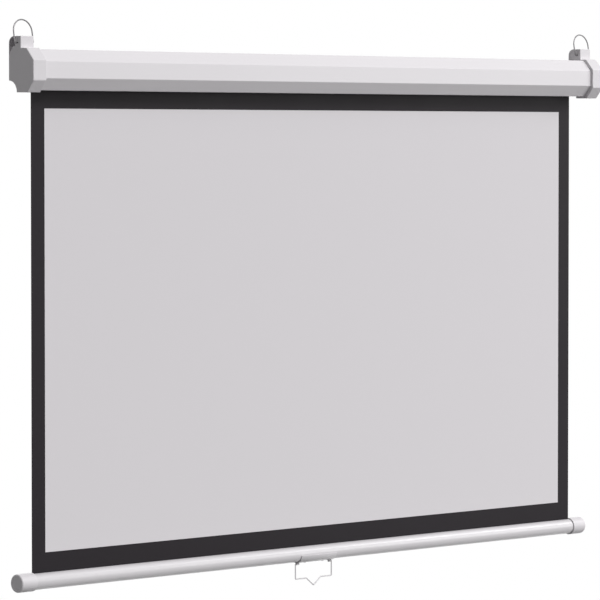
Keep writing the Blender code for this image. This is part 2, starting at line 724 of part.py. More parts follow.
def torsion_spring():
    """A close helix round the spindle, from the head's plug to the anchor."""
    start = PLUG_IN - GAP - SPRING_WIRE / 2
    end = ANCHOR_OUT + GAP + SPRING_WIRE / 2
    per_turn = 8
    count = SPRING_TURNS * per_turn
    points = []
    for index in range(count + 1):
        angle = 2 * math.pi * index / per_turn
        x = -(start + (end - start) * index / count)
        points.append((x, ROLLER_Y + SPRING_RADIUS * math.cos(angle), SPRING_RADIUS * math.sin(angle)))
    gap = abs(start - end) / SPRING_TURNS - SPRING_WIRE
    print("torsion_spring least gap between turns", round(gap * 1000, 2), "mm")
    wire("torsion_spring", points, SPRING_WIRE / 2, SPRING_STEEL, (0.0, ROLLER_Y, 0.0), sides=6)


def fabric_wraps():
    """The turn of fabric that stays on the tube, with the step where the sheet leaves it."""
    outline = []
    for step in range(FINE + 1):
        share = step / FINE
        radius = WRAP_HIGH + (WRAP_LOW - WRAP_HIGH) * share
        outline += arc(roller_axis(), radius, 360.0 * share, 360.0 * share + 1.0, 1)[:1]
    bore = circle(roller_axis(), WRAP_INNER, FINE)
    wraps = prism(outline, -FABRIC_HALF, FABRIC_HALF, [bore])
    add_object("fabric_wraps", mesh_of(wraps, "fabric_wraps"), SHEET_BLACK, (0.0, ROLLER_Y, 0.0))


def pawl_frame(face):
    """The radial and the backward direction at a notch face, and the pawl's pivot, in Y and Z."""
    radial = Vector((math.cos(math.radians(face)), math.sin(math.radians(face))))
    backward = Vector((radial.y, -radial.x))
    height = RATCHET_FLOOR + GAP + PAWL_HALF_WIDTH
    pivot = Vector(roller_axis()) + radial * height + backward * (PAWL_LENGTH + GAP)
    return radial, backward, pivot


def pawl(name, face):
    """A lever lifted clear of the wheel; dropped, its end stands against the notch's radial face."""
    radial, backward, pivot = pawl_frame(face)
    nose = -backward * PAWL_LENGTH
    inner = [nose - radial * PAWL_HALF_WIDTH, nose + radial * PAWL_HALF_WIDTH]
    eye_start = math.asin(PAWL_HALF_WIDTH / PAWL_EYE)
    steps = 9
    points = list(inner)
    for step in range(steps + 1):
        angle = math.pi - eye_start - (2 * math.pi - 2 * eye_start) * step / steps
        points.append(backward * (PAWL_EYE * math.cos(angle)) + radial * (PAWL_EYE * math.sin(angle)))
    lift = Matrix.Rotation(-PAWL_LIFT, 2)
    outline = [tuple(pivot + lift @ point) for point in points]
    bore = circle(tuple(pivot), PAWL_PIN + GAP, COARSE)
    body = prism(outline, -RATCHET_OUT, -RATCHET_IN, [bore])
    add_object(name, mesh_of(body, name), STEEL, (0.0, pivot.x, pivot.y))


def pawl_pin(name, face):
    """A rivet in the head that a pawl turns on."""
    pivot = pawl_frame(face)[2]
    head_low = RATCHET_OUT + GAP
    head_high = head_low + PAWL_PIN_HEAD_HEIGHT
    profile = [
        (FLANGE_OUT - PAWL_PIN_GRIP, 0.0),
        (FLANGE_OUT - PAWL_PIN_GRIP, PAWL_PIN),
        (head_low, PAWL_PIN),
        (head_low, PAWL_PIN_HEAD),
        (head_high, PAWL_PIN_HEAD),
        (head_high, 0.0),
    ]
    pin = mirrored(turned(profile, (0.0, pivot.x, pivot.y), COARSE), -1)
    add_object(name, mesh_of(pin, name), STEEL, (0.0, ROLLER_Y, 0.0))


def bar_axis():
    return (FABRIC_Y, BAR_Z)


def weight_bar():
    """A round tube with a keyhole channel inside its top for the fabric's hem."""
    hem = (FABRIC_Y, BAR_Z + HEM_HEIGHT)
    mouth = math.degrees(math.asin(HEM_SLOT_HALF / BAR_RADIUS))
    neck = math.degrees(math.asin(HEM_SLOT_HALF / HEM_CHANNEL))
    outer = arc(bar_axis(), BAR_RADIUS, 90.0 + mouth, 450.0 - mouth, FINE)
    outer += arc(hem, HEM_CHANNEL, 90.0 - neck, -270.0 + neck, 16)
    bore = BAR_RADIUS - BAR_WALL
    shell = HEM_CHANNEL + HEM_CHANNEL_WALL
    meet_height = (bore**2 - shell**2 + HEM_HEIGHT**2) / (2 * HEM_HEIGHT)
    bore_meet = math.degrees(math.asin(meet_height / bore))
    shell_meet = math.degrees(math.asin((meet_height - HEM_HEIGHT) / shell))
    inner = arc(bar_axis(), bore, 180.0 - bore_meet, 360.0 + bore_meet, 24)
    inner += arc(hem, shell, shell_meet, -180.0 - shell_meet, 12)[1:-1]
    bar = prism(outer, -BAR_HALF, BAR_HALF, [inner])
    thing = add_object("weight_bar", mesh_of(bar, "weight_bar"), BAR_PAINT)
    for sign in (-1, 1):
        combine(thing, "DIFFERENCE", rivet_hole(sign))


def bar_cap(name, side):
    """A push-on cap with a rounded end."""
    seat = BAR_RADIUS + GAP
    floor = BAR_CAP_OUT - BAR_CAP_END
    profile = [
        (BAR_CAP_IN, seat),
        (BAR_CAP_IN, BAR_CAP_RADIUS - BAR_CAP_LEAD),
        (BAR_CAP_IN + BAR_CAP_LEAD, BAR_CAP_RADIUS),
    ]
    steps = 4
    for step in range(steps + 1):
        angle = math.pi / 2 * step / steps
        profile.append((
            BAR_CAP_OUT - BAR_CAP_ROUND * (1 - math.sin(angle)),
            BAR_CAP_RADIUS - BAR_CAP_ROUND * (1 - math.cos(angle)),
        ))
    profile += [(BAR_CAP_OUT, 0.0), (floor, 0.0), (floor, seat)]
    cap = mirrored(turned(profile, (0.0, *bar_axis()), FINE), side)
    add_object(name, mesh_of(cap, name), WHITE_PLASTIC)


def hem_rod():
    """The plastic rod in the fabric's hem."""
    rod = prism(circle((FABRIC_Y, HEM_Z), HEM_RADIUS - FABRIC_THICKNESS - GAP, COARSE), -FABRIC_HALF, FABRIC_HALF)
    add_object("hem_rod", mesh_of(rod, "hem_rod"), NYLON)


def screen_fabric():
    """The hanging sheet, from where it leaves the roller to the sewn hem in the bar."""
    half = FABRIC_THICKNESS / 2
    neck = math.degrees(math.asin(half / HEM_RADIUS))
    outline = [(FABRIC_Y + half, -GAP), (FABRIC_Y - half, -GAP)]
    outline += arc((FABRIC_Y, HEM_Z), HEM_RADIUS, 90.0 + neck, 450.0 - neck, COARSE)
    inner = circle((FABRIC_Y, HEM_Z), HEM_RADIUS - FABRIC_THICKNESS, COARSE)
    sheet = prism(outline, -FABRIC_HALF, FABRIC_HALF, [inner])
    add_object("screen_fabric", mesh_of(sheet, "screen_fabric"), SHEET_WHITE)


def handle_clip():
    """A curved plate under the bar with a knuckle at each end for the handle's wire."""
    inner = BAR_RADIUS + GAP
    reach = math.degrees(CLIP_REACH)
    outline = arc(bar_axis(), inner, 270.0 - reach, 270.0 + reach, 16)
    outline += arc(bar_axis(), inner + CLIP_WALL, 270.0 + reach, 270.0 - reach, 16)
    plate = prism(outline, HANDLE_PLACE - CLIP_HALF, HANDLE_PLACE + CLIP_HALF)
    clip = add_object("handle_clip", mesh_of(plate, "handle_clip"), BAR_PAINT)
    pivot = (FABRIC_Y, HANDLE_PIVOT_Z)
    for sign in (-1, 1):
        inner_end = HANDLE_PLACE + sign * (CLIP_HALF - CLIP_KNUCKLE)
        outer_end = HANDLE_PLACE + sign * (CLIP_HALF - CLIP_KNUCKLE_INSET)
        combine(clip, "UNION", prism(circle(pivot, KNUCKLE_RADIUS, COARSE), inner_end, outer_end))
    for sign in (-1, 1):
        inner_end = HANDLE_PLACE + sign * (CLIP_HALF - HANDLE_GRIP - GAP)
        outer_end = HANDLE_PLACE + sign * (CLIP_HALF + OVERRUN)
        combine(clip, "DIFFERENCE", prism(circle(pivot, HANDLE_HOLE, COARSE), inner_end, outer_end))
        combine(clip, "DIFFERENCE", rivet_hole(sign))


def rivet_hole(sign):
    """A clearance hole for one rivet, through the clip and the bar's wall."""
    reach = RIVET_RADIUS + GAP
    low = -BAR_RADIUS - CLIP_WALL - OVERRUN
    high = -BAR_RADIUS + BAR_WALL + OVERRUN
    profile = [(low, 0.0), (low, reach), (high, reach), (high, 0.0)]
    return turned(profile, (HANDLE_PLACE + sign * RIVET_SPREAD / 2, FABRIC_Y, BAR_Z), COARSE, "Z")


def clip_rivet(name, sign):
    """A dome-head rivet that holds the clip to the bar."""
    base = -BAR_RADIUS - GAP - CLIP_WALL
    profile = [
        (base + RIVET_LENGTH, 0.0),
        (base - RIVET_HEAD_HEIGHT - GAP, 0.0),
        (base - RIVET_HEAD_HEIGHT - GAP, RIVET_CROWN),
        (base - RIVET_RIM - GAP, RIVET_HEAD),
        (base - GAP, RIVET_HEAD),
        (base - GAP, RIVET_RADIUS),
        (base + RIVET_LENGTH, RIVET_RADIUS),
    ]
    rivet = turned(profile, (HANDLE_PLACE + sign * RIVET_SPREAD / 2, FABRIC_Y, BAR_Z), COARSE, "Z")
    add_object(name, mesh_of(rivet, name), STEEL)


def pull_handle():
    """One bent wire: ends in the clip's knuckles, two legs, and a V in the middle to pull on."""
    half = HANDLE_WIDTH / 2
    foot = BAR_Z - BAR_RADIUS - HANDLE_DROP
    end = CLIP_HALF - HANDLE_GRIP
    corners = [
        (-end, FABRIC_Y, HANDLE_PIVOT_Z),
        (-half, FABRIC_Y, HANDLE_PIVOT_Z),
        (-half, FABRIC_Y, foot),
        (-HANDLE_V_WIDTH / 2, FABRIC_Y, foot),
        (0.0, FABRIC_Y, foot - HANDLE_V_DEPTH),
        (HANDLE_V_WIDTH / 2, FABRIC_Y, foot),
        (half, FABRIC_Y, foot),
        (half, FABRIC_Y, HANDLE_PIVOT_Z),
        (end, FABRIC_Y, HANDLE_PIVOT_Z),
    ]
    path = [point + Vector((HANDLE_PLACE, 0.0, 0.0)) for point in rounded_path(corners, HANDLE_BEND)]
    wire("pull_handle", path, HANDLE_WIRE / 2, STEEL, (HANDLE_PLACE, FABRIC_Y, HANDLE_PIVOT_Z))


def leaned(point):
    """A point of an upright hanger, tipped back about the pivot."""
    rise = point.z - HANGER_PIVOT_Z
    back = HANGER_PIVOT_Y + rise * math.sin(HANGER_LEAN)
    return Vector((point.x, back, HANGER_PIVOT_Z + rise * math.cos(HANGER_LEAN)))


def hanger(name, side):
    """One bent wire over the ear: ends in the ear's two holes, straight legs and a round top."""
    middle = (CAP_INNER + CAP_OUTER) / 2
    half = CAP_LENGTH / 2 + HANGER_STAND_OFF
    end = CAP_LENGTH / 2 - HANGER_GRIP
    rise = HANGER_TOP - HANGER_SHOULDER
    steps = 14
    legs = rounded_path([
        (end, HANGER_PIVOT_Y, HANGER_PIVOT_Z),
        (half, HANGER_PIVOT_Y, HANGER_PIVOT_Z),
        (half, HANGER_PIVOT_Y, HANGER_SHOULDER),
    ], HANGER_BEND)
    crown = []
    for step in range(1, steps):
        angle = math.pi * step / steps
        crown.append(Vector((half * math.cos(angle), HANGER_PIVOT_Y, HANGER_SHOULDER + rise * math.sin(angle))))
    other = [Vector((-point.x, point.y, point.z)) for point in reversed(legs)]
    path = [leaned(point) + Vector((side * middle, 0.0, 0.0)) for point in legs + crown + other]
    wire(name, path, HANGER_WIRE / 2, STEEL, (side * middle, HANGER_PIVOT_Y, HANGER_PIVOT_Z))


def hang_from_hooks():
    """Moves every piece so that the origin is half way between the tops of the two hangers."""
    top = leaned(Vector((0.0, HANGER_PIVOT_Y, HANGER_TOP)))
    for thing in bpy.data.objects:
        thing.location -= top


def build():
    clear_scene()
    case_shell()
    end_cap("left_end_cap", -1)
    end_cap("right_end_cap", 1)
    for side, place in ((-1, "left"), (1, "right")):
        for height, level in zip(SCREW_HEIGHTS, ("upper", "lower")):
            cap_screw(f"{place}_cap_screw_{level}", side, height)
    bracket("left_bracket", -1, tang_outline(GAP))
    bush = PIN_RADIUS + GAP + BUSH_WALL
    bracket("right_bracket", 1, circle(roller_axis(), bush + GAP, MEDIUM))
    spring_spindle()
    ratchet_wheel()
    spring_anchor()
    idler_bush()
    roller_tube()
    roller_head()
    roller_plug("idler_plug", 1, PIN_RADIUS + GAP, PIN_GRIP)
    idler_pin()
    torsion_spring()
    fabric_wraps()
    for face, level in zip(NOTCH_FACES, ("upper", "lower")):
        pawl(f"{level}_pawl", face)
        pawl_pin(f"{level}_pawl_pin", face)
    weight_bar()
    bar_cap("left_bar_cap", -1)
    bar_cap("right_bar_cap", 1)
    hem_rod()
    screen_fabric()
    handle_clip()
    clip_rivet("left_clip_rivet", -1)
    clip_rivet("right_clip_rivet", 1)
    pull_handle()
    hanger("left_hanger", -1)
    hanger("right_hanger", 1)
    hang_from_hooks()


build()
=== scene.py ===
"""Dresses a pull-down projector screen: painted case, moulded caps, bordered cloth, bar and bent wires.

Metres, +Z up, -Y the front. Every piece is modelled round the CAD frame and rides on one of its bodies.
"""

import json
import math

import bmesh
import bpy
from bpy.props import FloatProperty, FloatVectorProperty, PointerProperty
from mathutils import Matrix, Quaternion, Vector


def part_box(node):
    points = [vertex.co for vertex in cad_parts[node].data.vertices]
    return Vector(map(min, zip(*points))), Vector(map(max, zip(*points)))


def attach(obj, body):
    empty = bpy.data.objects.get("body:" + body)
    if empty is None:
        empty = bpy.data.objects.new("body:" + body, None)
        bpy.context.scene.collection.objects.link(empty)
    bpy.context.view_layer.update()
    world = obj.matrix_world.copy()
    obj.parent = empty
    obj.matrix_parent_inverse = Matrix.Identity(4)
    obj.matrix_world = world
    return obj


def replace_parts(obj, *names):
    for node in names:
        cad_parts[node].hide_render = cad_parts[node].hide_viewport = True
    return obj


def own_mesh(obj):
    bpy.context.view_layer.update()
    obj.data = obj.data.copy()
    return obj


bl_info = {
    "name": "Pull-down projector screen",
    "version": (1, 0, 0),
    "blender": (4, 5, 0),
    "location": "View3D > Sidebar > Screen",
    "description": "Models the dressed pieces of a pull-down projector screen round its CAD frame",
    "category": "Object",
}

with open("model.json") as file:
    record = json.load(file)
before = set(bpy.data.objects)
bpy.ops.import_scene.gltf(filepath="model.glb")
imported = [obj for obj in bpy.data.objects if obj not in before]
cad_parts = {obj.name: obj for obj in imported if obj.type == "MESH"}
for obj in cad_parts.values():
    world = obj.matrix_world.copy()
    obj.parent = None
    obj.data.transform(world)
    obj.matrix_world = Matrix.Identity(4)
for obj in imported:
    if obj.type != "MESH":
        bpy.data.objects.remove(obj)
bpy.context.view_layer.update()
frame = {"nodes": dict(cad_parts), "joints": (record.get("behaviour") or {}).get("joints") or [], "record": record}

# Places taken from the frame
CASE_LOW, CASE_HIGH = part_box("case_shell")
CAP_LOW, CAP_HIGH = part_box("right_end_cap")
SHEET_LOW, SHEET_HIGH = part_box("screen_fabric")
BAR_LOW, BAR_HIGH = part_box("weight_bar")
BAR_CAP_LOW, BAR_CAP_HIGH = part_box("right_bar_cap")
CLIP_LOW, CLIP_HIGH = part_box("handle_clip")
TUBE_LOW, TUBE_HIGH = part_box("roller_tube")
CASE_BACK = CASE_HIGH.y
AXIS_Z = (CASE_LOW.z + CASE_HIGH.z) / 2
CLOTH_Y = (SHEET_LOW.y + SHEET_HIGH.y) / 2
BAR_AXIS = Vector((0.0, CLOTH_Y, (BAR_CAP_LOW.z + BAR_CAP_HIGH.z) / 2))
BAR_TOP = BAR_HIGH.z
ROLLER_AXIS = (TUBE_LOW + TUBE_HIGH) / 2
ALONG_X = Vector((1.0, 0.0, 0.0))
ALONG_Y = Vector((0.0, 1.0, 0.0))
ALONG_Z = Vector((0.0, 0.0, 1.0))

MERGE = 2e-6  # points nearer than this are one
NEAR = 1e-5  # as good as in one plane
PROUD = 0.002  # how far a cutter stands out of what it cuts
FIT = 0.0003  # play between small pieces that fit together
CREASE = 32.0  # degrees past which two faces meet in a sharp edge
CLOTH_CREASE, WIRE_CREASE = 40.0, 50.0  # the same for cloth and for bent wires
FACING = 0.9  # share of a face's normal along a way, from which it looks that way
WIRE_STEP = 9.0  # degrees between two rings of a bent wire
HEM_TURN = 345.0  # degrees that the hem goes round its rod
CLIP_HALF = 84.0  # half the angle that the clip takes round the bar
WOUND_STEPS = 60  # flats in the turn of cloth on the roller

# Cap screws: outline from the tip up as (along, radius), cross recess, and the holes for them. The last
# node is the one that is modelled, the others are copies.
SCREW = ((-0.0100, 0.0), (-0.0100, 0.0009), (-0.0080, 0.0015), (0.0, 0.0015), (0.0, 0.0034),
         (0.0008, 0.0034), (0.0015, 0.0029), (0.0018, 0.0019), (0.0018, 0.0))
CROSS_LONG, CROSS_WIDE, CROSS_FLOOR = 0.0018, 0.0004, 0.0008
SCREW_HOLE, SCREW_WAY = 0.0018, (0.0, -0.0145, 0.0)
HEAD_HOLE, HEAD_WAY = 0.0037, (0.0, -0.0041, 0.0)
CAP_SCREWS = ("right_cap_screw_lower", "left_cap_screw_upper", "left_cap_screw_lower",
              "right_cap_screw_upper")

# Rivets: outline of the shank's foot and the head as (radius, rise), and the hole for them
RIVET = ((0.0014, 0.0010), (0.0026, 0.0010), (0.0025, 0.0006), (0.0020, 0.0003), (0.0012, 0.00008),
         (0.0, 0.0))
RIVET_HOLE, RIVET_WAY = 0.0015, (0.0, 0.0, 0.008)

# Stage
FLOOR_RADIUS = 9.0
FLOOR_RIM = 0.4
FLOOR_FADE = (1.5, 5.0)  # from the middle, where the floor starts to turn plain white and where it is
FLOOR_GREY, FLOOR_GLOW = 0.80, 0.50  # of the floor as it is looked at
FLOOR_BOUNCE = 0.15  # grey of the floor for the rays that carry light
KEY_PLACE = (1.0, -4.0, 2.5)
KEY_TURN = (math.radians(54.0), 0.0, math.radians(12.0))
LAMP_AIM = Vector((0.0, 0.0, -0.55))
LAMPS = {
    "right": ((6.0, -2.6, 2.9), (2.0, 2.0)),
    "fill": ((5.2, -4.4, 0.1), (2.4, 2.4)),
    "left": ((-5.0, 0.4, 0.2), (2.0, 2.0)),
    "back": ((1.0, 4.0, 1.2), (3.0, 2.0)),
}
CAMERA_PLACE = (-5.7862, -5.5376, -0.2143)
CAMERA_TURN = (math.pi / 2 - 0.039213, 0.0, -0.80249)
SENSOR = 36.0  # width of the camera's sensor in millimetres
SIGHT = 60.0  # how far the camera sees


def joint_row(name):
    """What the frame says of a joint."""
    return next(joint for joint in frame["joints"] if joint["name"] == name)


def hinge(name):
    """Where a hinge of the frame stands."""
    return Vector(joint_row(name)["pos_m"])


def middle(node):
    """The middle of a node's box."""
    low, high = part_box(node)
    return (low + high) / 2


def amount(label, default, words, low=0.0, **kind):
    """A number that a user can change."""
    return FloatProperty(name=label, description=words, default=default, min=low, **kind)


def length(label, default, words):
    """A length that a user can change."""
    return amount(label, default, words, unit="LENGTH", precision=4)


def tint(label, default, words):
    """A colour that a user can change."""
    return FloatVectorProperty(name=label, description=words, default=default, size=3, min=0.0, max=1.0,
                               subtype="COLOR")


class ScreenCaseSizes(bpy.types.PropertyGroup):
    """Sizes of the case and its end caps."""

    wall: length("Case wall", 0.0015, "Thickness of the folded steel")
    bend: length("Fold radius", 0.0014, "Outer radius of the case's folds")
    top_depth: length("Top depth", 0.0372, "How far the flat top reaches forward from the back")
    bottom_depth: length("Bottom depth", 0.039, "How far the bottom reaches forward from the back")
    front_half: length("Front half height", 0.0155, "Half the height of the upright front facet")
    recess_back: length("Recess behind", 0.005, "How far the recess's middle is behind the case's back")
    recess_below: length("Recess below", 0.0405, "How far the recess's middle is below the roller's axis")
    recess_radius: length("Recess radius", 0.0223, "Radius of the hollow in which the bar nests")
    slot_half: length("Half slot", 0.004, "Half the width of the slot that the cloth comes out of")
    slot_lip: length("Slot lip", 0.003, "Depth of the turned-in lip in front of the slot")
    proud_front: length("Cap proud in front", 0.0055, "How far the caps stand proud of the front")
    proud_top: length("Cap proud on top", 0.0022, "How far the caps stand proud of the top")
    proud_bottom: length("Cap proud below", 0.004, "How far the caps stand proud below")
    cap_recess: length("Cap recess radius", 0.0208, "Radius of the caps' share of the recess")
    cap_wall: length("Cap wall", 0.004, "Thickness of the caps' end walls")
    cap_edge: length("Cap edge radius", 0.0013, "Rounding of the caps' edges")
    ear_depth: length("Ear depth", 0.0325, "Depth of the ear that carries the hanger")
    ear_round: length("Ear radius", 0.013, "Radius of the ear's rear top corner")
    pocket_rim: length("Pocket rim", 0.0018, "Wall left round the pocket in the ear's side")
    pocket_front: length("Pocket front", 0.0062, "From the hanger's hole back to the pocket")
    pocket_foot: length("Pocket foot", 0.0425, "Height of the deep part's floor above the roller's axis")
    pocket_depth: length("Pocket depth", 0.014, "Depth of the pocket in the ear's side")
    pocket_fillet: length("Pocket fillet", 0.0014, "Rounding round the pocket's floor")
    slope_front: length("Slope front", 0.0385, "Where the slope runs out in front, above the roller's axis")
    slope_back: length("Slope back", 0.026, "Where the slope runs out behind, above the roller's axis")
    slope: amount("Slope", 0.3, "How fast the slope gets deeper")
    slope_reach: length("Slope reach", 0.009, "Depth of the block that the slope is cut with")
    core_rib: length("Core rib", 0.0025, "Wall left round the hollow in the ear's back")
    core_depth: length("Core depth", 0.009, "Depth of the hollow in the ear's back")
    core_edge: length("Core edge", 0.0008, "Rounding of the hollow in the ear's back")
    spigot_wall: length("Spigot wall", 0.002, "Thickness of the spigot inside the case")
    spigot_length: length("Spigot length", 0.015, "Length of the spigot inside the case")
    spigot_gap: length("Spigot gap", 0.0095, "How far in front of the cloth the spigot is cut away")
    spigot_foot: length("Spigot foot", 0.012, "How far below the roller's axis the spigot is cut away")
    peg: length("Peg radius", 0.0022, "Radius of the two pegs that locate the bracket")
    peg_reach: length("Peg reach", 0.0026, "How far the pegs stand out of the cap's end wall")
    peg_spread: length("Peg spread", 0.016, "How far above and below the roller's axis the pegs are")
    gap: length("Fit gap", 0.0003, "Clearance between pieces that fit together")


class ScreenClothSizes(bpy.types.PropertyGroup):
    """Sizes of the cloth."""

    picture_width: length("Picture width", 1.4382, "Width of the white area")
    picture_height: length("Picture height", 0.809, "Height of the white area")
    low_border: length("Lower border", 0.0369, "Height of the black border above the bar")
    thickness: length("Cloth thickness", 0.0005, "Thickness of the coated cloth")
    strip_white: length("White on the strip", 0.005, "White cloth that moves with the bar")
    hem_radius: length("Hem radius", 0.0031, "Radius of the hem round its rod")
    hem_rise: length("Hem height", 0.0089, "How far the hem's middle is above the bar's axis")


class ScreenBarSizes(bpy.types.PropertyGroup):
    """Sizes of the bar, its clip and the wires."""

    wall: length("Bar wall", 0.0015, "Thickness of the bar's wall")
    slot_half: length("Half bar slot", 0.00125, "Half the width of the slot that takes the hem")
    lip: length("Bar lip", 0.0026, "Depth of the bar's turned-in lips")
    cap_seat: length("Cap seat", 0.0009, "Room between the bar and the inside of its caps")
    cap_lead: length("Cap lead", 0.0005, "Chamfer at the open end of the bar's caps")
    cap_round: length("Cap rounding", 0.0030, "Rounding of the closed end of the bar's caps")
    cap_end: length("Cap end", 0.003, "Thickness of the closed end of the bar's caps")
    dish: length("Dish radius", 0.0116, "Radius of the shallow dish in the end of the bar's caps")
    dish_lead: length("Dish lead", 0.0006, "How much narrower the dish is at its floor")
    dish_depth: length("Dish depth", 0.0005, "Depth of the dish")
    clip_wall: length("Clip wall", 0.0015, "Thickness of the handle's clip")
    clip_edge: length("Clip edge", 0.0004, "Rounding of the clip's edges")
    knuckle: length("Knuckle length", 0.0066, "Length of each knuckle of the clip")
    knuckle_edge: length("Knuckle edge", 0.0003, "Rounding of the knuckles' edges")
    knuckle_inset: length("Knuckle inset", 0.0004, "How far a knuckle's end is inside the clip's end")
    knuckle_bore: length("Knuckle bore", 0.0053, "How deep the handle's hole goes in from the clip's end")
    wire: length("Wire diameter", 0.0025, "Diameter of the hangers' and the handle's wire")
    hanger_bend: length("Hanger bend", 0.0026, "Radius of the small bends of a hanger")
    hanger_lean: amount("Hanger lean", math.radians(9.5), "How far the hangers lean back to their hooks",
                        -math.pi / 2, subtype="ANGLE")
    hanger_grip: length("Hanger grip", 0.006, "How far a hanger's ends reach into the ear")
    handle_bend: length("Handle bend", 0.0016, "Radius of the bends of the handle")
    handle_grip: length("Handle grip", 0.005, "How far the handle's ends reach into the clip")
    v_half: length("Half V width", 0.020, "Half the width of the V in the handle")
    v_depth: length("V depth", 0.015, "Depth of the V in the handle")


class ScreenColours(bpy.types.PropertyGroup):
    """Colours of the finishes."""

    case: tint("Case paint", (0.69, 0.668, 0.69), "Powder coat of the case")
    plastic: tint("Cap plastic", (0.66, 0.638, 0.66), "Moulded caps")
    bar: tint("Bar paint", (0.615, 0.596, 0.615), "Satin paint of the bar and its clip")
    white: tint("Picture white", (0.67, 0.648, 0.67), "White of the viewing surface")
    black: tint("Border black", (0.0085, 0.006, 0.0085), "Black of the border and the back")
    zinc: tint("Zinc", (0.56, 0.56, 0.57), "Zinc plated steel")
    wire: tint("Hanger wire", (0.16, 0.155, 0.16), "Drawn steel wire of the hangers")
    bright: tint("Handle wire", (0.40, 0.39, 0.40), "Bright steel wire of the handle")
    spring: tint("Spring steel", (0.26, 0.25, 0.25), "Oiled spring wire")
    nylon: tint("Nylon", (0.72, 0.70, 0.65), "Natural nylon")
    moulded: tint("Black plastic", (0.035, 0.035, 0.036), "Moulded black plastic")


class ScreenStage(bpy.types.PropertyGroup):
    """The lamps, the floor and the camera."""

    key: amount("Key light", 2.50, "Strength of the wide soft light in front")
    key_spread: amount("Key spread", math.radians(24.0), "How wide the light in front is", subtype="ANGLE")
    right: amount("Right lamp", 92.0, "Power of the lamp at the right", unit="POWER")
    fill: amount("Fill", 62.0, "Power of the lower lamp at the right", unit="POWER")
    left: amount("Left lamp", 14.0, "Power of the weak lamp at the left", unit="POWER")
    back: amount("Back lamp", 60.0, "Power of the weak lamp behind", unit="POWER")
    ambient: amount("Ambient", 0.20, "Strength of the even light from all round")
    floor_drop: length("Floor drop", 0.85, "Height of the bar above the floor")
    lens: amount("Lens", 247.25, "Focal length of the camera", 1.0, unit="CAMERA")


# Modelling by operators

def leave_mesh():
    """Closes an open mesh as it is."""
    if bpy.context.mode != "OBJECT":
        bpy.ops.object.mode_set(mode="OBJECT")


def take(piece):
    """Makes one piece the only one that operators act on."""
    leave_mesh()
    bpy.ops.object.select_all(action="DESELECT")
    piece.select_set(True)
    bpy.context.view_layer.objects.active = piece


def select_whole():
    """Selects the whole open mesh."""
    bpy.ops.mesh.select_all(action="SELECT")


def open_mesh(piece):
    """Opens a piece for editing, all of it selected."""
    take(piece)
    bpy.ops.object.mode_set(mode="EDIT")
    select_whole()


def begin(name, add, **options):
    """Adds a primitive by itself, puts its place in its mesh and opens it for editing."""
    leave_mesh()
    bpy.ops.object.select_all(action="DESELECT")
    add(**options)
    piece = bpy.context.object
    piece.name = piece.data.name = name
    bpy.ops.object.transform_apply(location=True, rotation=True, scale=True)
    open_mesh(piece)
    return piece


def long_edge(name, low, high, y, z):
    """A single edge along X, to be pulled and swung into a section."""
    centre = ((low + high) / 2, y, z)
    piece = begin(name, bpy.ops.mesh.primitive_plane_add, size=high - low, location=centre)
    bpy.ops.transform.resize(value=(1.0, 0.0, 1.0), center_override=centre)
    bpy.ops.mesh.remove_doubles(threshold=MERGE)
    select_whole()
    return piece


def pull(way):
    """Extrudes what is selected."""
    bpy.ops.mesh.extrude_region_move(TRANSFORM_OT_translate={"value": tuple(way)})


def follow(places):
    """Extrudes what is selected by the steps from each place to the next."""
    for here, there in zip(places, places[1:]):
        pull(there - here)


def outline(name, places):
    """An open outline through some places, with its end selected, to be pulled and swung on."""
    piece = begin(name, bpy.ops.mesh.primitive_plane_add, size=0.01, location=places[0])
    bpy.ops.mesh.merge(type="CENTER")
    select_whole()
    follow(places)
    return piece


def swing(degrees, centre, axis, steps):
    """Spins what is selected, by the right-hand rule about the axis."""
    bpy.ops.mesh.spin(steps=steps, angle=-math.radians(degrees), center=tuple(centre), axis=tuple(axis))


def pick(piece, kind, test):
    """Selects the edges or points of the open mesh that pass a test."""
    bpy.ops.mesh.select_mode(type=kind[:-1].upper())
    bpy.ops.mesh.select_all(action="DESELECT")
    shape = bmesh.from_edit_mesh(piece.data)
    for item in getattr(shape, kind):
        item.select_set(bool(test(item)))
    bmesh.update_edit_mesh(piece.data)
    bpy.ops.mesh.select_mode(type="VERT")


def middle_of(face):
    """The middle of a face's corners."""
    return sum((corner.co for corner in face.verts), Vector()) / len(face.verts)


def close_mesh(piece, angle=35.0, outward=True):
    """Merges doubles, turns the faces out and shades the finished mesh."""
    open_mesh(piece)
    bpy.ops.mesh.remove_doubles(threshold=MERGE)
    bpy.ops.mesh.delete_loose(use_verts=True, use_edges=True, use_faces=False)
    select_whole()
    if outward:
        bpy.ops.mesh.normals_make_consistent(inside=False)
    leave_mesh()
    bpy.ops.object.shade_smooth_by_angle(angle=math.radians(angle))
    return piece


def change(piece, kind, **settings):
    """Adds a modifier and applies it."""
    take(piece)
    bpy.ops.object.modifier_add(type=kind)
    modifier = piece.modifiers[-1]
    for name, value in settings.items():
        setattr(modifier, name, value)
    bpy.ops.object.modifier_apply(modifier=modifier.name)
    return piece


def soften(piece, width, segments, angle=30.0):
    """Rounds the edges whose faces turn by more than an angle."""
    return change(piece, "BEVEL", width=width, segments=segments, limit_method="ANGLE",
                  angle_limit=math.radians(angle))


def join(piece, other, operation="DIFFERENCE"):
    """Cuts another mesh from a piece or adds it, and removes the other."""
    change(piece, "BOOLEAN", object=other, operation=operation, solver="EXACT")
    bpy.data.objects.remove(other, do_unlink=True)


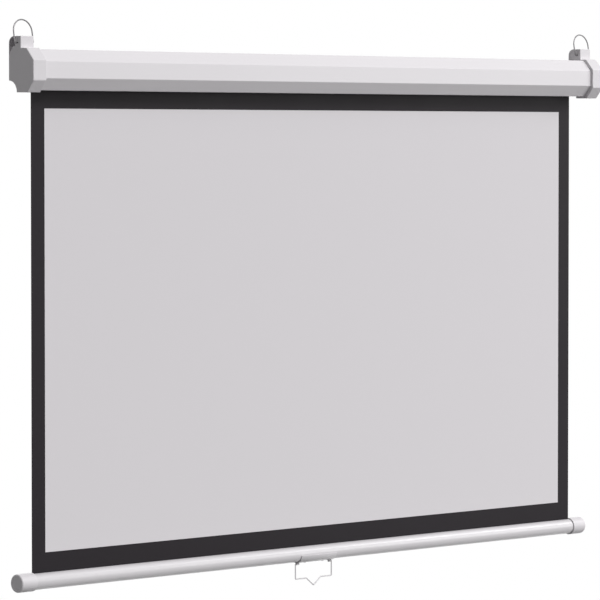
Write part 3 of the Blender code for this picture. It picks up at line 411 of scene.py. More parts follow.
def give_wall(piece, thickness, offset, way, even=True):
    """Turns an open sheet so that its face furthest along a way looks that way, and thickens it."""
    open_mesh(piece)
    bpy.ops.mesh.normals_make_consistent(inside=False)
    shape = bmesh.from_edit_mesh(piece.data)
    if max(shape.faces, key=lambda face: middle_of(face).dot(way)).normal.dot(way) < 0.0:
        bpy.ops.mesh.flip_normals()
    change(piece, "SOLIDIFY", thickness=thickness, offset=offset, use_even_offset=even)


def ring(name, radius, start, way, sides, fill="NOTHING"):
    """A circle that looks along a way, open for editing."""
    turn = ALONG_Z.rotation_difference(Vector(way).normalized()).to_euler()
    return begin(name, bpy.ops.mesh.primitive_circle_add, vertices=sides, radius=radius, fill_type=fill,
                 location=tuple(start), rotation=tuple(turn))


def rod(name, radius, start, way, sides=24):
    """A plain round rod, used to cut with or as a pin."""
    piece = ring(name, radius, start, way, sides, "NGON")
    pull(way)
    return close_mesh(piece)


def drill(piece, radius, start, way, sides=24):
    """Cuts a round hole."""
    join(piece, rod("drill", radius, start, way, sides))


def block(name, low, high):
    """A plain block between two corners, used to cut with."""
    low, high = Vector(low), Vector(high)
    piece = begin(name, bpy.ops.mesh.primitive_cube_add, size=1.0, scale=tuple(high - low),
                  location=tuple((low + high) / 2))
    leave_mesh()
    return piece


def turned(name, places, centre, axis, steps):
    """A solid turned as on a lathe: an outline spun round an axis."""
    piece = outline(name, places)
    select_whole()
    swing(360.0, centre, axis, steps)
    return close_mesh(piece)


def drawn_out(piece, distance):
    """Closes an open outline into a face and draws it out along X."""
    select_whole()
    bpy.ops.mesh.edge_face_add()
    select_whole()
    pull(ALONG_X * distance)
    return close_mesh(piece)


def copy_of(piece):
    """A copy with its own mesh, open for editing."""
    take(piece)
    bpy.ops.object.duplicate(linked=False)
    twin = bpy.context.object
    open_mesh(twin)
    return twin


def mirrored_copy(piece):
    """The same piece at the other end, as its mirror image."""
    twin = copy_of(piece)
    bpy.ops.transform.resize(value=(-1.0, 1.0, 1.0), center_override=(0.0, 0.0, 0.0))
    return close_mesh(twin)


def moved_copy(piece, way):
    """The same piece at another place."""
    twin = copy_of(piece)
    bpy.ops.transform.translate(value=tuple(way))
    leave_mesh()
    return twin


def dress(piece, name, body, slot, *finishes):
    """Names a finished piece and gives it its materials and its body; without finishes it takes the slot's
    material.
    """
    piece.name = piece.data.name = name
    piece.data.materials.clear()
    for made in finishes or (finish(slot),):
        piece.data.materials.append(made)
    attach(piece, body)
    return piece


# Materials

class Signal:
    """A node's output, so that sums on it read as Python."""

    def __init__(self, recipe, socket):
        self.recipe = recipe
        self.socket = socket

    def maths(self, operation, first, second=0.0):
        return self.recipe.node("ShaderNodeMath", {0: first, 1: second}, operation=operation)

    def __add__(self, other):
        return self.maths("ADD", self, other)

    __radd__ = __add__

    def __sub__(self, other):
        return self.maths("SUBTRACT", self, other)

    def __rsub__(self, other):
        return self.maths("SUBTRACT", other, self)

    def __mul__(self, other):
        return self.maths("MULTIPLY", self, other)

    __rmul__ = __mul__

    def sine(self):
        return self.maths("SINE", self)

    def above(self, limit):
        return self.maths("GREATER_THAN", self, limit)

    def or_more(self, other):
        return self.maths("MAXIMUM", self, other)


class Recipe:
    """The nodes of one material, or of the world."""

    def __init__(self, holder):
        holder.use_nodes = True
        self.tree = holder.node_tree
        self.shader = self.tree.nodes.get("Principled BSDF")

    def node(self, kind, inputs=None, output=0, **settings):
        """Adds a node: its settings first, then the values or links of its sockets."""
        made = self.tree.nodes.new(kind)
        for name, value in settings.items():
            setattr(made, name, value)
        for name, value in (inputs or {}).items():
            self.feed(made.inputs[name], value)
        return Signal(self, made.outputs[output])

    def feed(self, socket, value):
        """Links a signal to a socket, or sets its value."""
        if isinstance(value, Signal):
            self.tree.links.new(value.socket, socket)
        else:
            socket.default_value = value

    def place(self):
        return self.node("ShaderNodeTexCoord", output="Object")

    def part(self, vector, axis):
        """One of a vector's three numbers."""
        return self.node("ShaderNodeSeparateXYZ", {"Vector": vector}, axis)

    def noise(self, place, scale, detail=2.0):
        return self.node("ShaderNodeTexNoise", {"Vector": place, "Scale": scale, "Detail": detail})

    def blend(self, factor, first, second):
        """A colour between two others."""
        colours = [value if isinstance(value, Signal) else (*value, 1.0) for value in (first, second)]
        return self.node("ShaderNodeMix", {0: factor, 6: colours[0], 7: colours[1]}, 2, data_type="RGBA")

    def bump(self, height, strength, distance):
        return self.node("ShaderNodeBump", {"Height": height, "Strength": strength, "Distance": distance})

    def shade(self, **sockets):
        """Feeds the shader's sockets."""
        for name, value in sockets.items():
            self.feed(self.shader.inputs[name.replace("_", " ").title()], value)


def scaled(colour, share):
    """A colour made darker or lighter."""
    return tuple(min(1.0, part * share) for part in colour)


def paint(recipe, colour, roughness, peel, depth, coat=0.0):
    """Stoved paint: a faint orange peel, slight clouds of colour and fine dust on what faces up."""
    place = recipe.place()
    grain = recipe.noise(place, peel, 1.0)
    upward = recipe.part(recipe.node("ShaderNodeNewGeometry", output="Normal"), 2)
    dust = (upward * 1.4 - 0.3 + recipe.noise(place, 60.0, 4.0)).above(0.95) * 0.05
    base = recipe.blend(recipe.noise(place, 5.0), scaled(colour, 0.985), scaled(colour, 1.015))
    base = recipe.blend(dust, base, scaled(colour, 0.82))
    recipe.shade(base_color=base, roughness=(grain - 0.5) * 0.10 + (roughness + dust * 2.0),
                 normal=recipe.bump(grain, 0.10, depth), coat_weight=coat, coat_roughness=0.22)


def moulding(recipe, colour, roughness, spark):
    """Moulded plastic: a fine spark-eroded grain and a little unevenness of gloss."""
    place = recipe.place()
    clouds = recipe.noise(place, 22.0)
    grain = recipe.node("ShaderNodeTexVoronoi", {"Vector": place, "Scale": spark}, feature="SMOOTH_F1")
    recipe.shade(base_color=recipe.blend(clouds, scaled(colour, 0.97), scaled(colour, 1.02)),
                 roughness=(clouds - 0.5) * 0.12 + roughness, normal=recipe.bump(grain, 0.16, 0.0002))


def plating(recipe, colour, roughness, grain):
    """Zinc on steel: clouds of grey, fine drawn lines and a few dull spots."""
    place = recipe.place()
    lines = recipe.noise(recipe.node("ShaderNodeMapping", {"Vector": place, "Scale": grain}), 1.0)
    spots = recipe.noise(place, 700.0, 1.0).above(0.66) * 0.5
    base = recipe.blend(recipe.noise(place, 160.0, 3.0), scaled(colour, 0.84), scaled(colour, 1.14))
    base = recipe.blend(spots, base, scaled(colour, 0.6))
    recipe.shade(base_color=base, metallic=1.0, roughness=lines * 0.22 + (roughness - 0.1),
                 normal=recipe.bump(lines, 0.15, 0.0001))


def cloth(recipe, colour, roughness, pitch, shift):
    """Coated cloth: the threads of the woven ground show faintly through the coat."""
    cut = recipe.node("ShaderNodeUVMap", uv_map="cut")
    warp, weft = ((recipe.part(cut, axis) * (2.0 * math.pi / pitch)).sine() for axis in (0, 1))
    threads = warp * weft * 0.5 + 0.5
    clouds = recipe.noise(cut, 9.0, 3.0)
    base = recipe.blend(clouds, scaled(colour, 1.0 - shift), scaled(colour, 1.0 + shift))
    base = recipe.blend(threads * 0.5, base, scaled(colour, 1.0 - 3.0 * shift))
    recipe.shader.inputs["Specular IOR Level"].default_value = 0.15
    recipe.shade(base_color=base, roughness=clouds * 0.08 + (roughness - 0.04),
                 normal=recipe.bump(threads, 0.18, 0.0001))


FINISHES = {
    "case_paint": (paint, "case", 0.42, 900.0, 0.0002),
    "bar_paint": (paint, "bar", 0.30, 1300.0, 0.0001, 0.30),
    "cap_plastic": (moulding, "plastic", 0.44, 1500.0),
    "fabric_white": (cloth, "white", 0.80, 0.0009, 0.006),
    "fabric_black": (cloth, "black", 0.52, 0.0009, 0.05),
    "plated_steel": (plating, "zinc", 0.36, (60.0, 900.0, 900.0)),
    "wire_steel": (plating, "wire", 0.38, (900.0, 900.0, 90.0)),
    "bright_wire": (plating, "bright", 0.56, (90.0, 900.0, 900.0)),
    "spring_steel": (plating, "spring", 0.42, (900.0, 900.0, 900.0)),
    "nylon": (moulding, "nylon", 0.50, 1100.0),
    "black_plastic": (moulding, "moulded", 0.48, 1100.0),
}


def finish(slot):
    """The material of one of the record's slots, made when it is first asked for."""
    made = bpy.data.materials.get("dressed_" + slot)
    if made is None:
        made = bpy.data.materials.new("dressed_" + slot)
        kind, colour, *settings = FINISHES[slot]
        kind(Recipe(made), getattr(bpy.context.scene.screen_colours, colour), *settings)
    return made


# Pieces

def recess_angle(sizes, radius, back=None, rise=None):
    """Angle on a recess arc, in degrees from +Y towards +Z, at a place behind the back or over the axis."""
    if back is not None:
        return math.degrees(math.acos((back - sizes.recess_back) / radius))
    return 180.0 - math.degrees(math.asin((rise + sizes.recess_below) / radius))


def section(back, rise):
    """A place in the case's section: how far behind its back and how far above the roller's axis."""
    return Vector((0.0, CASE_BACK + back, AXIS_Z + rise))


def recess_centre(sizes):
    return section(sizes.recess_back, -sizes.recess_below)


def recess_point(sizes, radius, angle):
    """The place at an angle on a recess arc."""
    turn = math.radians(angle)
    return section(sizes.recess_back + radius * math.cos(turn), -sizes.recess_below + radius * math.sin(turn))


def case_corners(sizes):
    """The case's outer corners from the bottom of its front round to the top of its back."""
    half = (CASE_HIGH.z - CASE_LOW.z) / 2
    front = CASE_LOW.y - CASE_BACK
    return [section(-sizes.bottom_depth, -half), section(front, -sizes.front_half),
            section(front, sizes.front_half), section(-sizes.top_depth, half), section(0.0, half)]


def folded_sheet(sizes):
    """The case's skin along X, from the slot's turned-in front lip round to its back edge."""
    radius = sizes.recess_radius
    slot = CLOTH_Y - CASE_BACK
    start = recess_angle(sizes, radius, back=slot - sizes.slot_half)
    bottom = recess_angle(sizes, radius, rise=CASE_LOW.z - AXIS_Z)
    rear = recess_angle(sizes, radius, back=0.0)
    rear_lip = recess_angle(sizes, radius, back=slot + sizes.slot_half)
    first = recess_point(sizes, radius + sizes.slot_lip, start)
    piece = long_edge("case", CASE_LOW.x, CASE_HIGH.x, first.y, first.z)
    pull(recess_point(sizes, radius, start) - first)
    swing(bottom - start, recess_centre(sizes), ALONG_X, 7)
    follow([recess_point(sizes, radius, bottom), *case_corners(sizes), recess_point(sizes, radius, rear),
            recess_point(sizes, radius, rear_lip)])
    return piece


def round_folds(piece, width, angle, flat=0.0):
    """Rounds the folds that run along X and turn by more than an angle, between flats wide enough."""
    def is_fold(edge):
        along = abs(edge.verts[0].co.x - edge.verts[1].co.x)
        if along < CASE_HIGH.x or edge.calc_face_angle(0.0) < math.radians(angle):
            return False
        return all(face.calc_area() > flat * along for face in edge.link_faces)

    open_mesh(piece)
    pick(piece, "edges", is_fold)
    bpy.ops.mesh.bevel(offset=width, segments=4, affect="EDGES", clamp_overlap=True)


def screw_seat(node):
    """The middle of a cap screw, just outside the cap's back."""
    place = middle(node)
    return Vector((place.x, CAP_HIGH.y + PROUD, place.z))


def make_case(sizes):
    """The folded steel case: rounded folds, a turned-in lip at its slot and holes for the cap screws."""
    piece = folded_sheet(sizes)
    give_wall(piece, sizes.wall, -1.0, ALONG_Y)
    round_folds(piece, sizes.bend, 20.0, 2.0 * sizes.bend)
    round_folds(piece, sizes.wall / 5, 40.0)
    for node in CAP_SCREWS:
        drill(piece, SCREW_HOLE, screw_seat(node), SCREW_WAY)
    close_mesh(piece, CREASE, outward=False)
    change(piece, "WEIGHTED_NORMAL", keep_sharp=True)
    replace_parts(dress(piece, "case_cover", "housing", "case_paint"), "case_shell")


def cap_blank(sizes):
    """The right cap's outside with its ear, as a solid with rounded edges."""
    low, front_low, front_high, top, _ = case_corners(sizes)
    bottom_z, top_z = low.z - sizes.proud_bottom, top.z + sizes.proud_top
    ear_front, ear_back = CAP_HIGH.y - sizes.ear_depth, CAP_HIGH.y - sizes.ear_round
    corners = [
        (low.y - sizes.proud_front, bottom_z),
        (front_low.y - sizes.proud_front, front_low.z - sizes.proud_bottom),
        (front_high.y - sizes.proud_front, front_high.z + sizes.proud_top),
        (top.y - sizes.proud_front, top_z),
        (ear_front, top_z),
        (ear_front, CAP_HIGH.z),
        (ear_back, CAP_HIGH.z),
    ]
    piece = outline("cap", [Vector((CAP_LOW.x, y, z)) for y, z in corners])
    ear_centre = Vector((0.0, ear_back, CAP_HIGH.z - sizes.ear_round))
    swing(-90.0, ear_centre, ALONG_X, 14)
    foot_angle = recess_angle(sizes, sizes.cap_recess, back=CAP_HIGH.y - CASE_BACK)
    follow([Vector((0.0, CAP_HIGH.y, ear_centre.z)), recess_point(sizes, sizes.cap_recess, foot_angle)])
    lip_angle = recess_angle(sizes, sizes.cap_recess, rise=bottom_z - AXIS_Z)
    swing(lip_angle - foot_angle, recess_centre(sizes), ALONG_X, 20)
    return soften(drawn_out(piece, CAP_HIGH.x - CAP_LOW.x), sizes.cap_edge, 4)


def case_core(sizes, inset, low, high):
    """A solid of the case's section, drawn in or out by an inset, between two ends."""
    radius = sizes.recess_radius
    corners = case_corners(sizes)
    rear = recess_angle(sizes, radius, back=0.0)
    bottom = recess_angle(sizes, radius, rise=corners[0].z - AXIS_Z)
    piece = outline("core", [recess_point(sizes, radius, rear) + ALONG_X * (low - inset)])
    swing(bottom - rear, recess_centre(sizes), ALONG_X, 20)
    follow([recess_point(sizes, radius, bottom), *corners])
    drawn_out(piece, high - low + 2.0 * inset)
    open_mesh(piece)
    bpy.ops.transform.shrink_fatten(value=-inset, use_even_offset=True)
    for end in (low, high):
        pick(piece, "verts", lambda corner: abs(corner.co.x - end) < (high - low) / 2)
        bpy.ops.transform.resize(value=(0.0, 1.0, 1.0), center_override=(end, 0.0, 0.0))
    return close_mesh(piece)


def ear_pocket(sizes):
    """The deep hollow behind the hanger's hole, with a filleted floor."""
    front = hinge("right_hanger_swing").y + sizes.pocket_front
    back = CAP_HIGH.y - sizes.pocket_rim
    top = CAP_HIGH.z - sizes.pocket_rim
    foot = AXIS_Z + sizes.pocket_foot
    floor = CAP_HIGH.x - sizes.pocket_depth
    ear_centre = Vector((0.0, CAP_HIGH.y - sizes.ear_round, CAP_HIGH.z - sizes.ear_round))
    corners = ((front, foot), (front, top), (ear_centre.y, top))
    piece = outline("pocket", [Vector((floor, y, z)) for y, z in corners])
    swing(-90.0, ear_centre, ALONG_X, 12)
    follow([Vector((floor, back, ear_centre.z)), Vector((floor, back, foot))])
    drawn_out(piece, CAP_HIGH.x + PROUD - floor)
    open_mesh(piece)
    pick(piece, "edges", lambda edge: all(abs(end.co.x - floor) < NEAR for end in edge.verts))
    bpy.ops.mesh.bevel(offset=sizes.pocket_fillet, segments=3, affect="EDGES")
    return close_mesh(piece)


def pocket_slope(sizes):
    """The slope under the hollow, which runs out on the cap's side."""
    front = hinge("right_hanger_swing").y + sizes.pocket_front
    back = CAP_HIGH.y - sizes.pocket_rim
    top = AXIS_Z + sizes.pocket_foot + PROUD
    front_foot = Vector((CAP_HIGH.x, front, AXIS_Z + sizes.slope_front))
    back_foot = Vector((CAP_HIGH.x, back, AXIS_Z + sizes.slope_back))
    way = (back_foot - front_foot).cross(Vector((-sizes.slope, 0.0, 1.0)))
    if way.x < 0.0:
        way.negate()
    piece = block("slope", (CAP_HIGH.x - sizes.slope_reach, front, back_foot.z - PROUD),
                  (CAP_HIGH.x + PROUD, back, top))
    open_mesh(piece)
    bpy.ops.mesh.bisect(plane_co=tuple(front_foot), plane_no=tuple(way), use_fill=True, clear_inner=True)
    return close_mesh(piece)


def cap_spigot(sizes, floor):
    """The spigot inside the case, cut away where the cloth comes down."""
    skin = sizes.wall + sizes.gap
    spigot = case_core(sizes, skin, floor - sizes.spigot_length, floor + sizes.cap_wall / 2)
    join(spigot, case_core(sizes, skin + sizes.spigot_wall, floor - 2.0 * sizes.spigot_length, CAP_HIGH.x))
    join(spigot, block("lips", (CAP_LOW.x, CLOTH_Y - sizes.spigot_gap, CASE_LOW.z),
                       (CAP_HIGH.x, CASE_BACK + PROUD, AXIS_Z - sizes.spigot_foot)))
    return spigot


def back_hollow(sizes):
    """The shallow hollow in the back of the ear."""
    low = (CAP_LOW.x + sizes.core_rib, CAP_HIGH.y - sizes.core_depth,
           CASE_HIGH.z + sizes.gap + sizes.core_rib)
    high = (CAP_HIGH.x - sizes.pocket_depth - sizes.core_rib, CAP_HIGH.y + PROUD,
            CAP_HIGH.z - sizes.ear_round)
    return soften(block("hollow", low, high), sizes.core_edge, 2)


def make_caps(sizes, wire):
    """Both moulded caps: skirt, ear with its pocket and holes, hollows and screw seats in the back."""
    cap = cap_blank(sizes)
    floor = CAP_HIGH.x - sizes.cap_wall
    join(cap, case_core(sizes, -sizes.gap, CAP_LOW.x - PROUD, floor))
    join(cap, ear_pocket(sizes))
    join(cap, pocket_slope(sizes))
    join(cap, cap_spigot(sizes, floor), "UNION")
    for rise in (-sizes.peg_spread, sizes.peg_spread):
        peg = Vector((floor - sizes.peg_reach, ROLLER_AXIS.y, ROLLER_AXIS.z + rise))
        join(cap, rod("peg", sizes.peg, peg, (sizes.peg_reach + PROUD, 0.0, 0.0)), "UNION")
    pivot = hinge("right_hanger_swing")
    depth = wire.hanger_grip + sizes.gap + PROUD
    for x, way in ((CAP_HIGH.x + PROUD, -depth), (CAP_LOW.x - PROUD, depth)):
        drill(cap, wire.wire / 2 + sizes.gap, (x, pivot.y, pivot.z), (way, 0.0, 0.0))
    join(cap, back_hollow(sizes))
    for node in reversed(CAP_SCREWS):
        if node.startswith("right"):
            drill(cap, HEAD_HOLE, screw_seat(node), HEAD_WAY, 32)
            drill(cap, SCREW_HOLE, screw_seat(node), SCREW_WAY)
    close_mesh(cap, CREASE)
    for piece, side in ((cap, "right"), (mirrored_copy(cap), "left")):
        change(piece, "WEIGHTED_NORMAL", keep_sharp=True)
        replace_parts(dress(piece, side + "_cap", "housing", "cap_plastic"), side + "_end_cap")


def make_screws():
    """Pan-head screws with a cross recess in the back of the caps."""
    place = middle(CAP_SCREWS[-1])
    seat = Vector((place.x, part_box(CAP_SCREWS[-1])[1].y - SCREW[-1][0], place.z))
    screw = turned("screw", [seat + Vector((0.0, along, reach)) for along, reach in SCREW], seat, ALONG_Y, 40)
    for wide, tall in ((CROSS_LONG, CROSS_WIDE), (CROSS_WIDE, CROSS_LONG)):
        foot = seat + Vector((-wide, CROSS_FLOOR, -tall))
        join(screw, block("blade", foot, foot + Vector((2 * wide, PROUD, 2 * tall))))
    for node in CAP_SCREWS:
        piece = screw if node == CAP_SCREWS[-1] else moved_copy(screw, middle(node) - place)
        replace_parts(dress(piece, node + "_head", "housing", "plated_steel"), node)


def rivet_holes(piece):
    """Cuts the holes for the clip's rivets."""
    for node in ("left_clip_rivet", "right_clip_rivet"):
        place, foot = middle(node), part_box(node)[0].z - PROUD / 2
        drill(piece, RIVET_HOLE, (place.x, place.y, foot), RIVET_WAY)


def make_bar(sizes):
    """The round bar with the turned-in lips of its slot and the holes for the rivets."""
    radius = BAR_HIGH.y - BAR_AXIS.y
    rise = math.sqrt(radius ** 2 - sizes.slot_half ** 2)
    mouth = math.degrees(math.asin(sizes.slot_half / radius))
    foot = BAR_AXIS.z + rise - sizes.lip
    piece = long_edge("bar", BAR_LOW.x, BAR_HIGH.x, CLOTH_Y - sizes.slot_half, foot)
    pull(ALONG_Z * sizes.lip)
    swing(360.0 - 2.0 * mouth, BAR_AXIS, ALONG_X, 50)
    pull(-ALONG_Z * sizes.lip)
    give_wall(piece, sizes.wall, -1.0, ALONG_Y)
    round_folds(piece, sizes.wall / 4, 40.0)
    rivet_holes(piece)
    close_mesh(piece, CREASE, outward=False)
    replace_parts(dress(piece, "bar_tube", "weight_bar", "bar_paint"), "weight_bar")


def make_bar_caps(sizes):
    """The push-on caps at the ends of the bar, with a shallow dish in their ends."""
    def at(rows):
        return [Vector((x, BAR_AXIS.y, BAR_AXIS.z + reach)) for x, reach in rows]

    radius = (BAR_CAP_HIGH.z - BAR_CAP_LOW.z) / 2
    seat = BAR_HIGH.y - BAR_AXIS.y + sizes.cap_seat
    inner, outer = BAR_CAP_LOW.x, BAR_CAP_HIGH.x
    crown, end, floor = outer - sizes.cap_round, outer - sizes.cap_end, outer - sizes.dish_depth
    right = outline("bar_cap", at([(inner, seat), (inner, radius - sizes.cap_lead),
                                   (inner + sizes.cap_lead, radius), (crown, radius)]))
    swing(90.0, at([(crown, radius - sizes.cap_round)])[0], ALONG_Y, 8)
    follow(at([(outer, radius - sizes.cap_round), (outer, sizes.dish), (floor, sizes.dish - sizes.dish_lead),
               (floor, 0.0), (end, 0.0), (end, seat)]))
    select_whole()
    bpy.ops.mesh.edge_face_add()
    bpy.ops.mesh.delete(type="ONLY_FACE")
    select_whole()
    swing(360.0, BAR_AXIS, ALONG_X, 80)
    close_mesh(right)
    for piece, side in ((right, "right"), (mirrored_copy(right), "left")):
        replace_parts(dress(piece, side + "_bar_end", "weight_bar", "cap_plastic"), side + "_bar_cap")


def make_clip(sizes):
    """The curved plate under the bar with a knuckle at each end for the handle."""
    pivot = hinge("handle_swing")
    outer = (CLIP_HIGH.y - CLIP_LOW.y) / 2 / math.sin(math.radians(CLIP_HALF))
    inner = outer - sizes.clip_wall
    turn = math.radians(270.0 - CLIP_HALF)
    start = (BAR_AXIS.y + inner * math.cos(turn), BAR_AXIS.z + inner * math.sin(turn))
    plate = long_edge("clip", CLIP_LOW.x, CLIP_HIGH.x, *start)
    swing(2.0 * CLIP_HALF, BAR_AXIS, ALONG_X, 48)
    give_wall(plate, sizes.clip_wall, 1.0, -ALONG_Z)
    soften(plate, sizes.clip_edge, 3, 40.0)
    centre, half = (CLIP_LOW.x + CLIP_HIGH.x) / 2, (CLIP_HIGH.x - CLIP_LOW.x) / 2
    for side in (-1.0, 1.0):
        end = (centre + side * (half - sizes.knuckle_inset), pivot.y, pivot.z)
        knuckle = rod("knuckle", pivot.z - CLIP_LOW.z, end, (-side * sizes.knuckle, 0.0, 0.0), 36)
        join(plate, soften(knuckle, sizes.knuckle_edge, 2, 50.0), "UNION")
    for side in (-1.0, 1.0):
        end = (centre + side * (half + PROUD), pivot.y, pivot.z)
        drill(plate, sizes.wire / 2 + FIT, end, (-side * (sizes.knuckle_bore + PROUD), 0.0, 0.0), 32)
    rivet_holes(plate)
    close_mesh(plate, CREASE)
    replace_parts(dress(plate, "clip_plate", "weight_bar", "bar_paint"), "handle_clip")


def make_rivets():
    """Dome-head rivets that hold the clip."""
    left, right = middle("left_clip_rivet"), middle("right_clip_rivet")
    low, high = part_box("left_clip_rivet")
    top = Vector((left.x, left.y, high.z))
    outer = [(0.0, high.z), (RIVET[0][0], high.z)] + [(reach, low.z + rise) for reach, rise in RIVET]
    rivet = turned("rivet", [Vector((left.x + reach, left.y, z)) for reach, z in outer], top, ALONG_Z, 32)
    for piece, side in ((rivet, "left"), (moved_copy(rivet, right - left), "right")):
        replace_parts(dress(piece, side + "_rivet", "weight_bar", "plated_steel"), side + "_clip_rivet")


def rotation_about(axis, degrees):
    return Quaternion(Vector(axis), math.radians(degrees))


def bent_wire(name, diameter, start, ahead, steps):
    """A wire bent as on a bench: runs of a length and bends of an angle about an axis, with a radius."""
    piece = ring(name, diameter / 2, start, ahead, 20)
    heading = Vector(ahead).normalized()
    here = Vector(start)
    for step in steps:
        if len(step) == 1:
            pull(heading * step[0])
            here += heading * step[0]
        else:
            degrees, axis, radius = step
            centre = here + Vector(axis).cross(heading) * radius * math.copysign(1.0, degrees)
            swing(degrees, centre, axis, max(3, round(abs(degrees) / WIRE_STEP)))
            spoke = here - centre
            for arrow in (spoke, heading):
                arrow.rotate(rotation_about(axis, degrees))
            here = centre + spoke
    select_whole()
    bpy.ops.mesh.fill_holes(sides=0)
    return close_mesh(piece, WIRE_CREASE)


def make_hangers(sizes):
    """The two wire hangers, ends in the ears and a round top."""
    bend = sizes.hanger_bend
    across = rotation_about(ALONG_X, -math.degrees(sizes.hanger_lean)) @ ALONG_Y
    grip = (CAP_HIGH.x - CAP_LOW.x) / 2 - sizes.hanger_grip
    for node in ("right_hanger", "left_hanger"):
        low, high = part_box(node)
        pivot = hinge(node + "_swing")
        half = (high.x - low.x - sizes.wire) / 2
        tall = (high.z - sizes.wire / 2 - pivot.z) / math.cos(sizes.hanger_lean)
        start = pivot + ALONG_X * grip
        foot, leg, corner = (half - grip - bend,), (tall - half - bend,), (-90.0, across, bend)
        steps = [foot, corner, leg, (-180.0, across, half), leg, corner, foot]
        piece = bent_wire("hanger", sizes.wire, start, ALONG_X, steps)
        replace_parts(dress(piece, node + "_wire", node, "wire_steel"), node)


def make_handle(sizes):
    """The pull handle: one wire with two legs and a V in the middle."""
    low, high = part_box("pull_handle")
    pivot = hinge("handle_swing")
    half = (high.x - low.x - sizes.wire) / 2
    bend = sizes.handle_bend
    grip = (CLIP_HIGH.x - CLIP_LOW.x) / 2 - sizes.handle_grip
    slope = math.atan2(sizes.v_depth, sizes.v_half)
    trim = bend * math.tan(slope / 2)
    apex_trim = bend * math.tan(slope)
    apex_drop = apex_trim * math.sin(slope) - bend * (1.0 - math.cos(slope))
    foot_z = low.z + sizes.wire / 2 + sizes.v_depth - apex_drop
    end, leg = (half - grip - bend,), (pivot.z - foot_z - 2.0 * bend,)
    foot = (half - sizes.v_half - bend - trim,)
    side = (math.hypot(sizes.v_half, sizes.v_depth) - trim - apex_trim,)
    corner, turn = (-90.0, ALONG_Y, bend), (math.degrees(slope), ALONG_Y, bend)
    steps = [end, corner, leg, corner, foot, turn, side, (-2.0 * math.degrees(slope), ALONG_Y, bend),
             side, turn, foot, corner, leg, corner, end]
    piece = bent_wire("handle", sizes.wire, pivot - ALONG_X * grip, -ALONG_X, steps)
    dress(piece, "handle_wire", "pull_handle", "wire_steel", finish("bright_wire"))
    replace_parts(piece, "pull_handle")


def lay_out(piece, place):
    """Lays the cut of a cloth out in its UV map, by a rule that takes a corner of the mesh."""
    layer = piece.data.uv_layers.new(name="cut")
    for loop in piece.data.loops:
        layer.data[loop.index].uv = place(piece.data.vertices[loop.vertex_index].co)


def split_at(places, normal):
    """Cuts the open mesh along planes, so that a colour can end there."""
    for place in places:
        select_whole()
        bpy.ops.mesh.bisect(plane_co=tuple(place), plane_no=tuple(normal))


def make_cloth(sizes):
    """The hanging cloth: a long sheet that goes up into the case and a strip that moves with the bar."""
    white_low = BAR_TOP + sizes.low_border
    white_top = white_low + sizes.picture_height
    joint = white_low + sizes.strip_white
    top = SHEET_HIGH.z
    half = sizes.picture_width / 2
    sides = (-ALONG_X * half, ALONG_X * half)
    sheet = long_edge("sheet", SHEET_LOW.x, SHEET_HIGH.x, CLOTH_Y, top)
    pull(ALONG_Z * (joint - top))
    split_at(sides, ALONG_X)
    split_at([ALONG_Z * white_top], ALONG_Z)
    hem = Vector((0.0, CLOTH_Y, BAR_AXIS.z + sizes.hem_rise))
    strip = long_edge("strip", SHEET_LOW.x, SHEET_HIGH.x, CLOTH_Y, joint)
    pull(ALONG_Z * (hem.z + sizes.hem_radius - joint))
    swing(HEM_TURN, hem, ALONG_X, 24)
    split_at(sides, ALONG_X)
    split_at([ALONG_Z * white_low], ALONG_Z)
    for piece, name, body in ((sheet, "picture_cloth", "housing"), (strip, "hem_cloth", "weight_bar")):
        give_wall(piece, sizes.thickness, 0.0, -ALONG_Y, even=False)
        close_mesh(piece, CLOTH_CREASE, outward=False)
        dress(piece, name, body, "fabric_white", finish("fabric_white"), finish("fabric_black"))
        for face in piece.data.polygons:
            x, _, z = face.center
            white = abs(x) < half and white_low < z < white_top and face.normal.y < -FACING
            face.material_index = 0 if white else 1
        lay_out(piece, lambda corner: (corner.x, corner.z))
        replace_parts(piece, "screen_fabric")
    travel = joint_row("screen_lift")["range_m"][1]
    1.0 - travel / (top - joint)
    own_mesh(sheet)


def make_wound_cloth(sizes):
    """The last turn of cloth, which stays on the roller."""
    roller = TUBE_HIGH.y - ROLLER_AXIS.y
    outer = CLOTH_Y - ROLLER_AXIS.y
    inner = roller + FIT + sizes.thickness / 2
    places = []
    for step in range(WOUND_STEPS):
        turn = 2.0 * math.pi * step / WOUND_STEPS
        reach = outer + (inner - outer) * step / WOUND_STEPS
        places.append(ROLLER_AXIS + Vector((0.0, math.cos(turn), math.sin(turn))) * reach)
    piece = long_edge("wound", SHEET_LOW.x, SHEET_HIGH.x, places[0].y, places[0].z)
    follow(places)
    give_wall(piece, sizes.thickness, 0.0, ALONG_Y, even=False)
    close_mesh(piece, CLOTH_CREASE, outward=False)
    lay_out(piece, lambda corner: (corner.x, roller * math.atan2(corner.z - ROLLER_AXIS.z,
                                                                 corner.y - ROLLER_AXIS.y)))
    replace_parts(dress(piece, "wound_cloth", "roller", "fabric_black"), "fabric_wraps")


def finish_inner_pieces():
    """Gives every CAD node that stays in view its own slot's material."""
    for row in frame["record"]["subparts"]:
        node = frame["nodes"][row["node"]]
        if not node.material_slots:
            node.data.materials.append(None)
        for holder in node.material_slots:
            holder.material = finish(row["material_slot"])


# Stage

def seen_directly(recipe):
    """1 where a camera, glossy or transmission ray looks, 0 for the rays that carry light."""
    camera, gloss, through = (recipe.node("ShaderNodeLightPath", output="Is %s Ray" % kind)
                              for kind in ("Camera", "Glossy", "Transmission"))
    return camera.or_more(gloss).or_more(through)


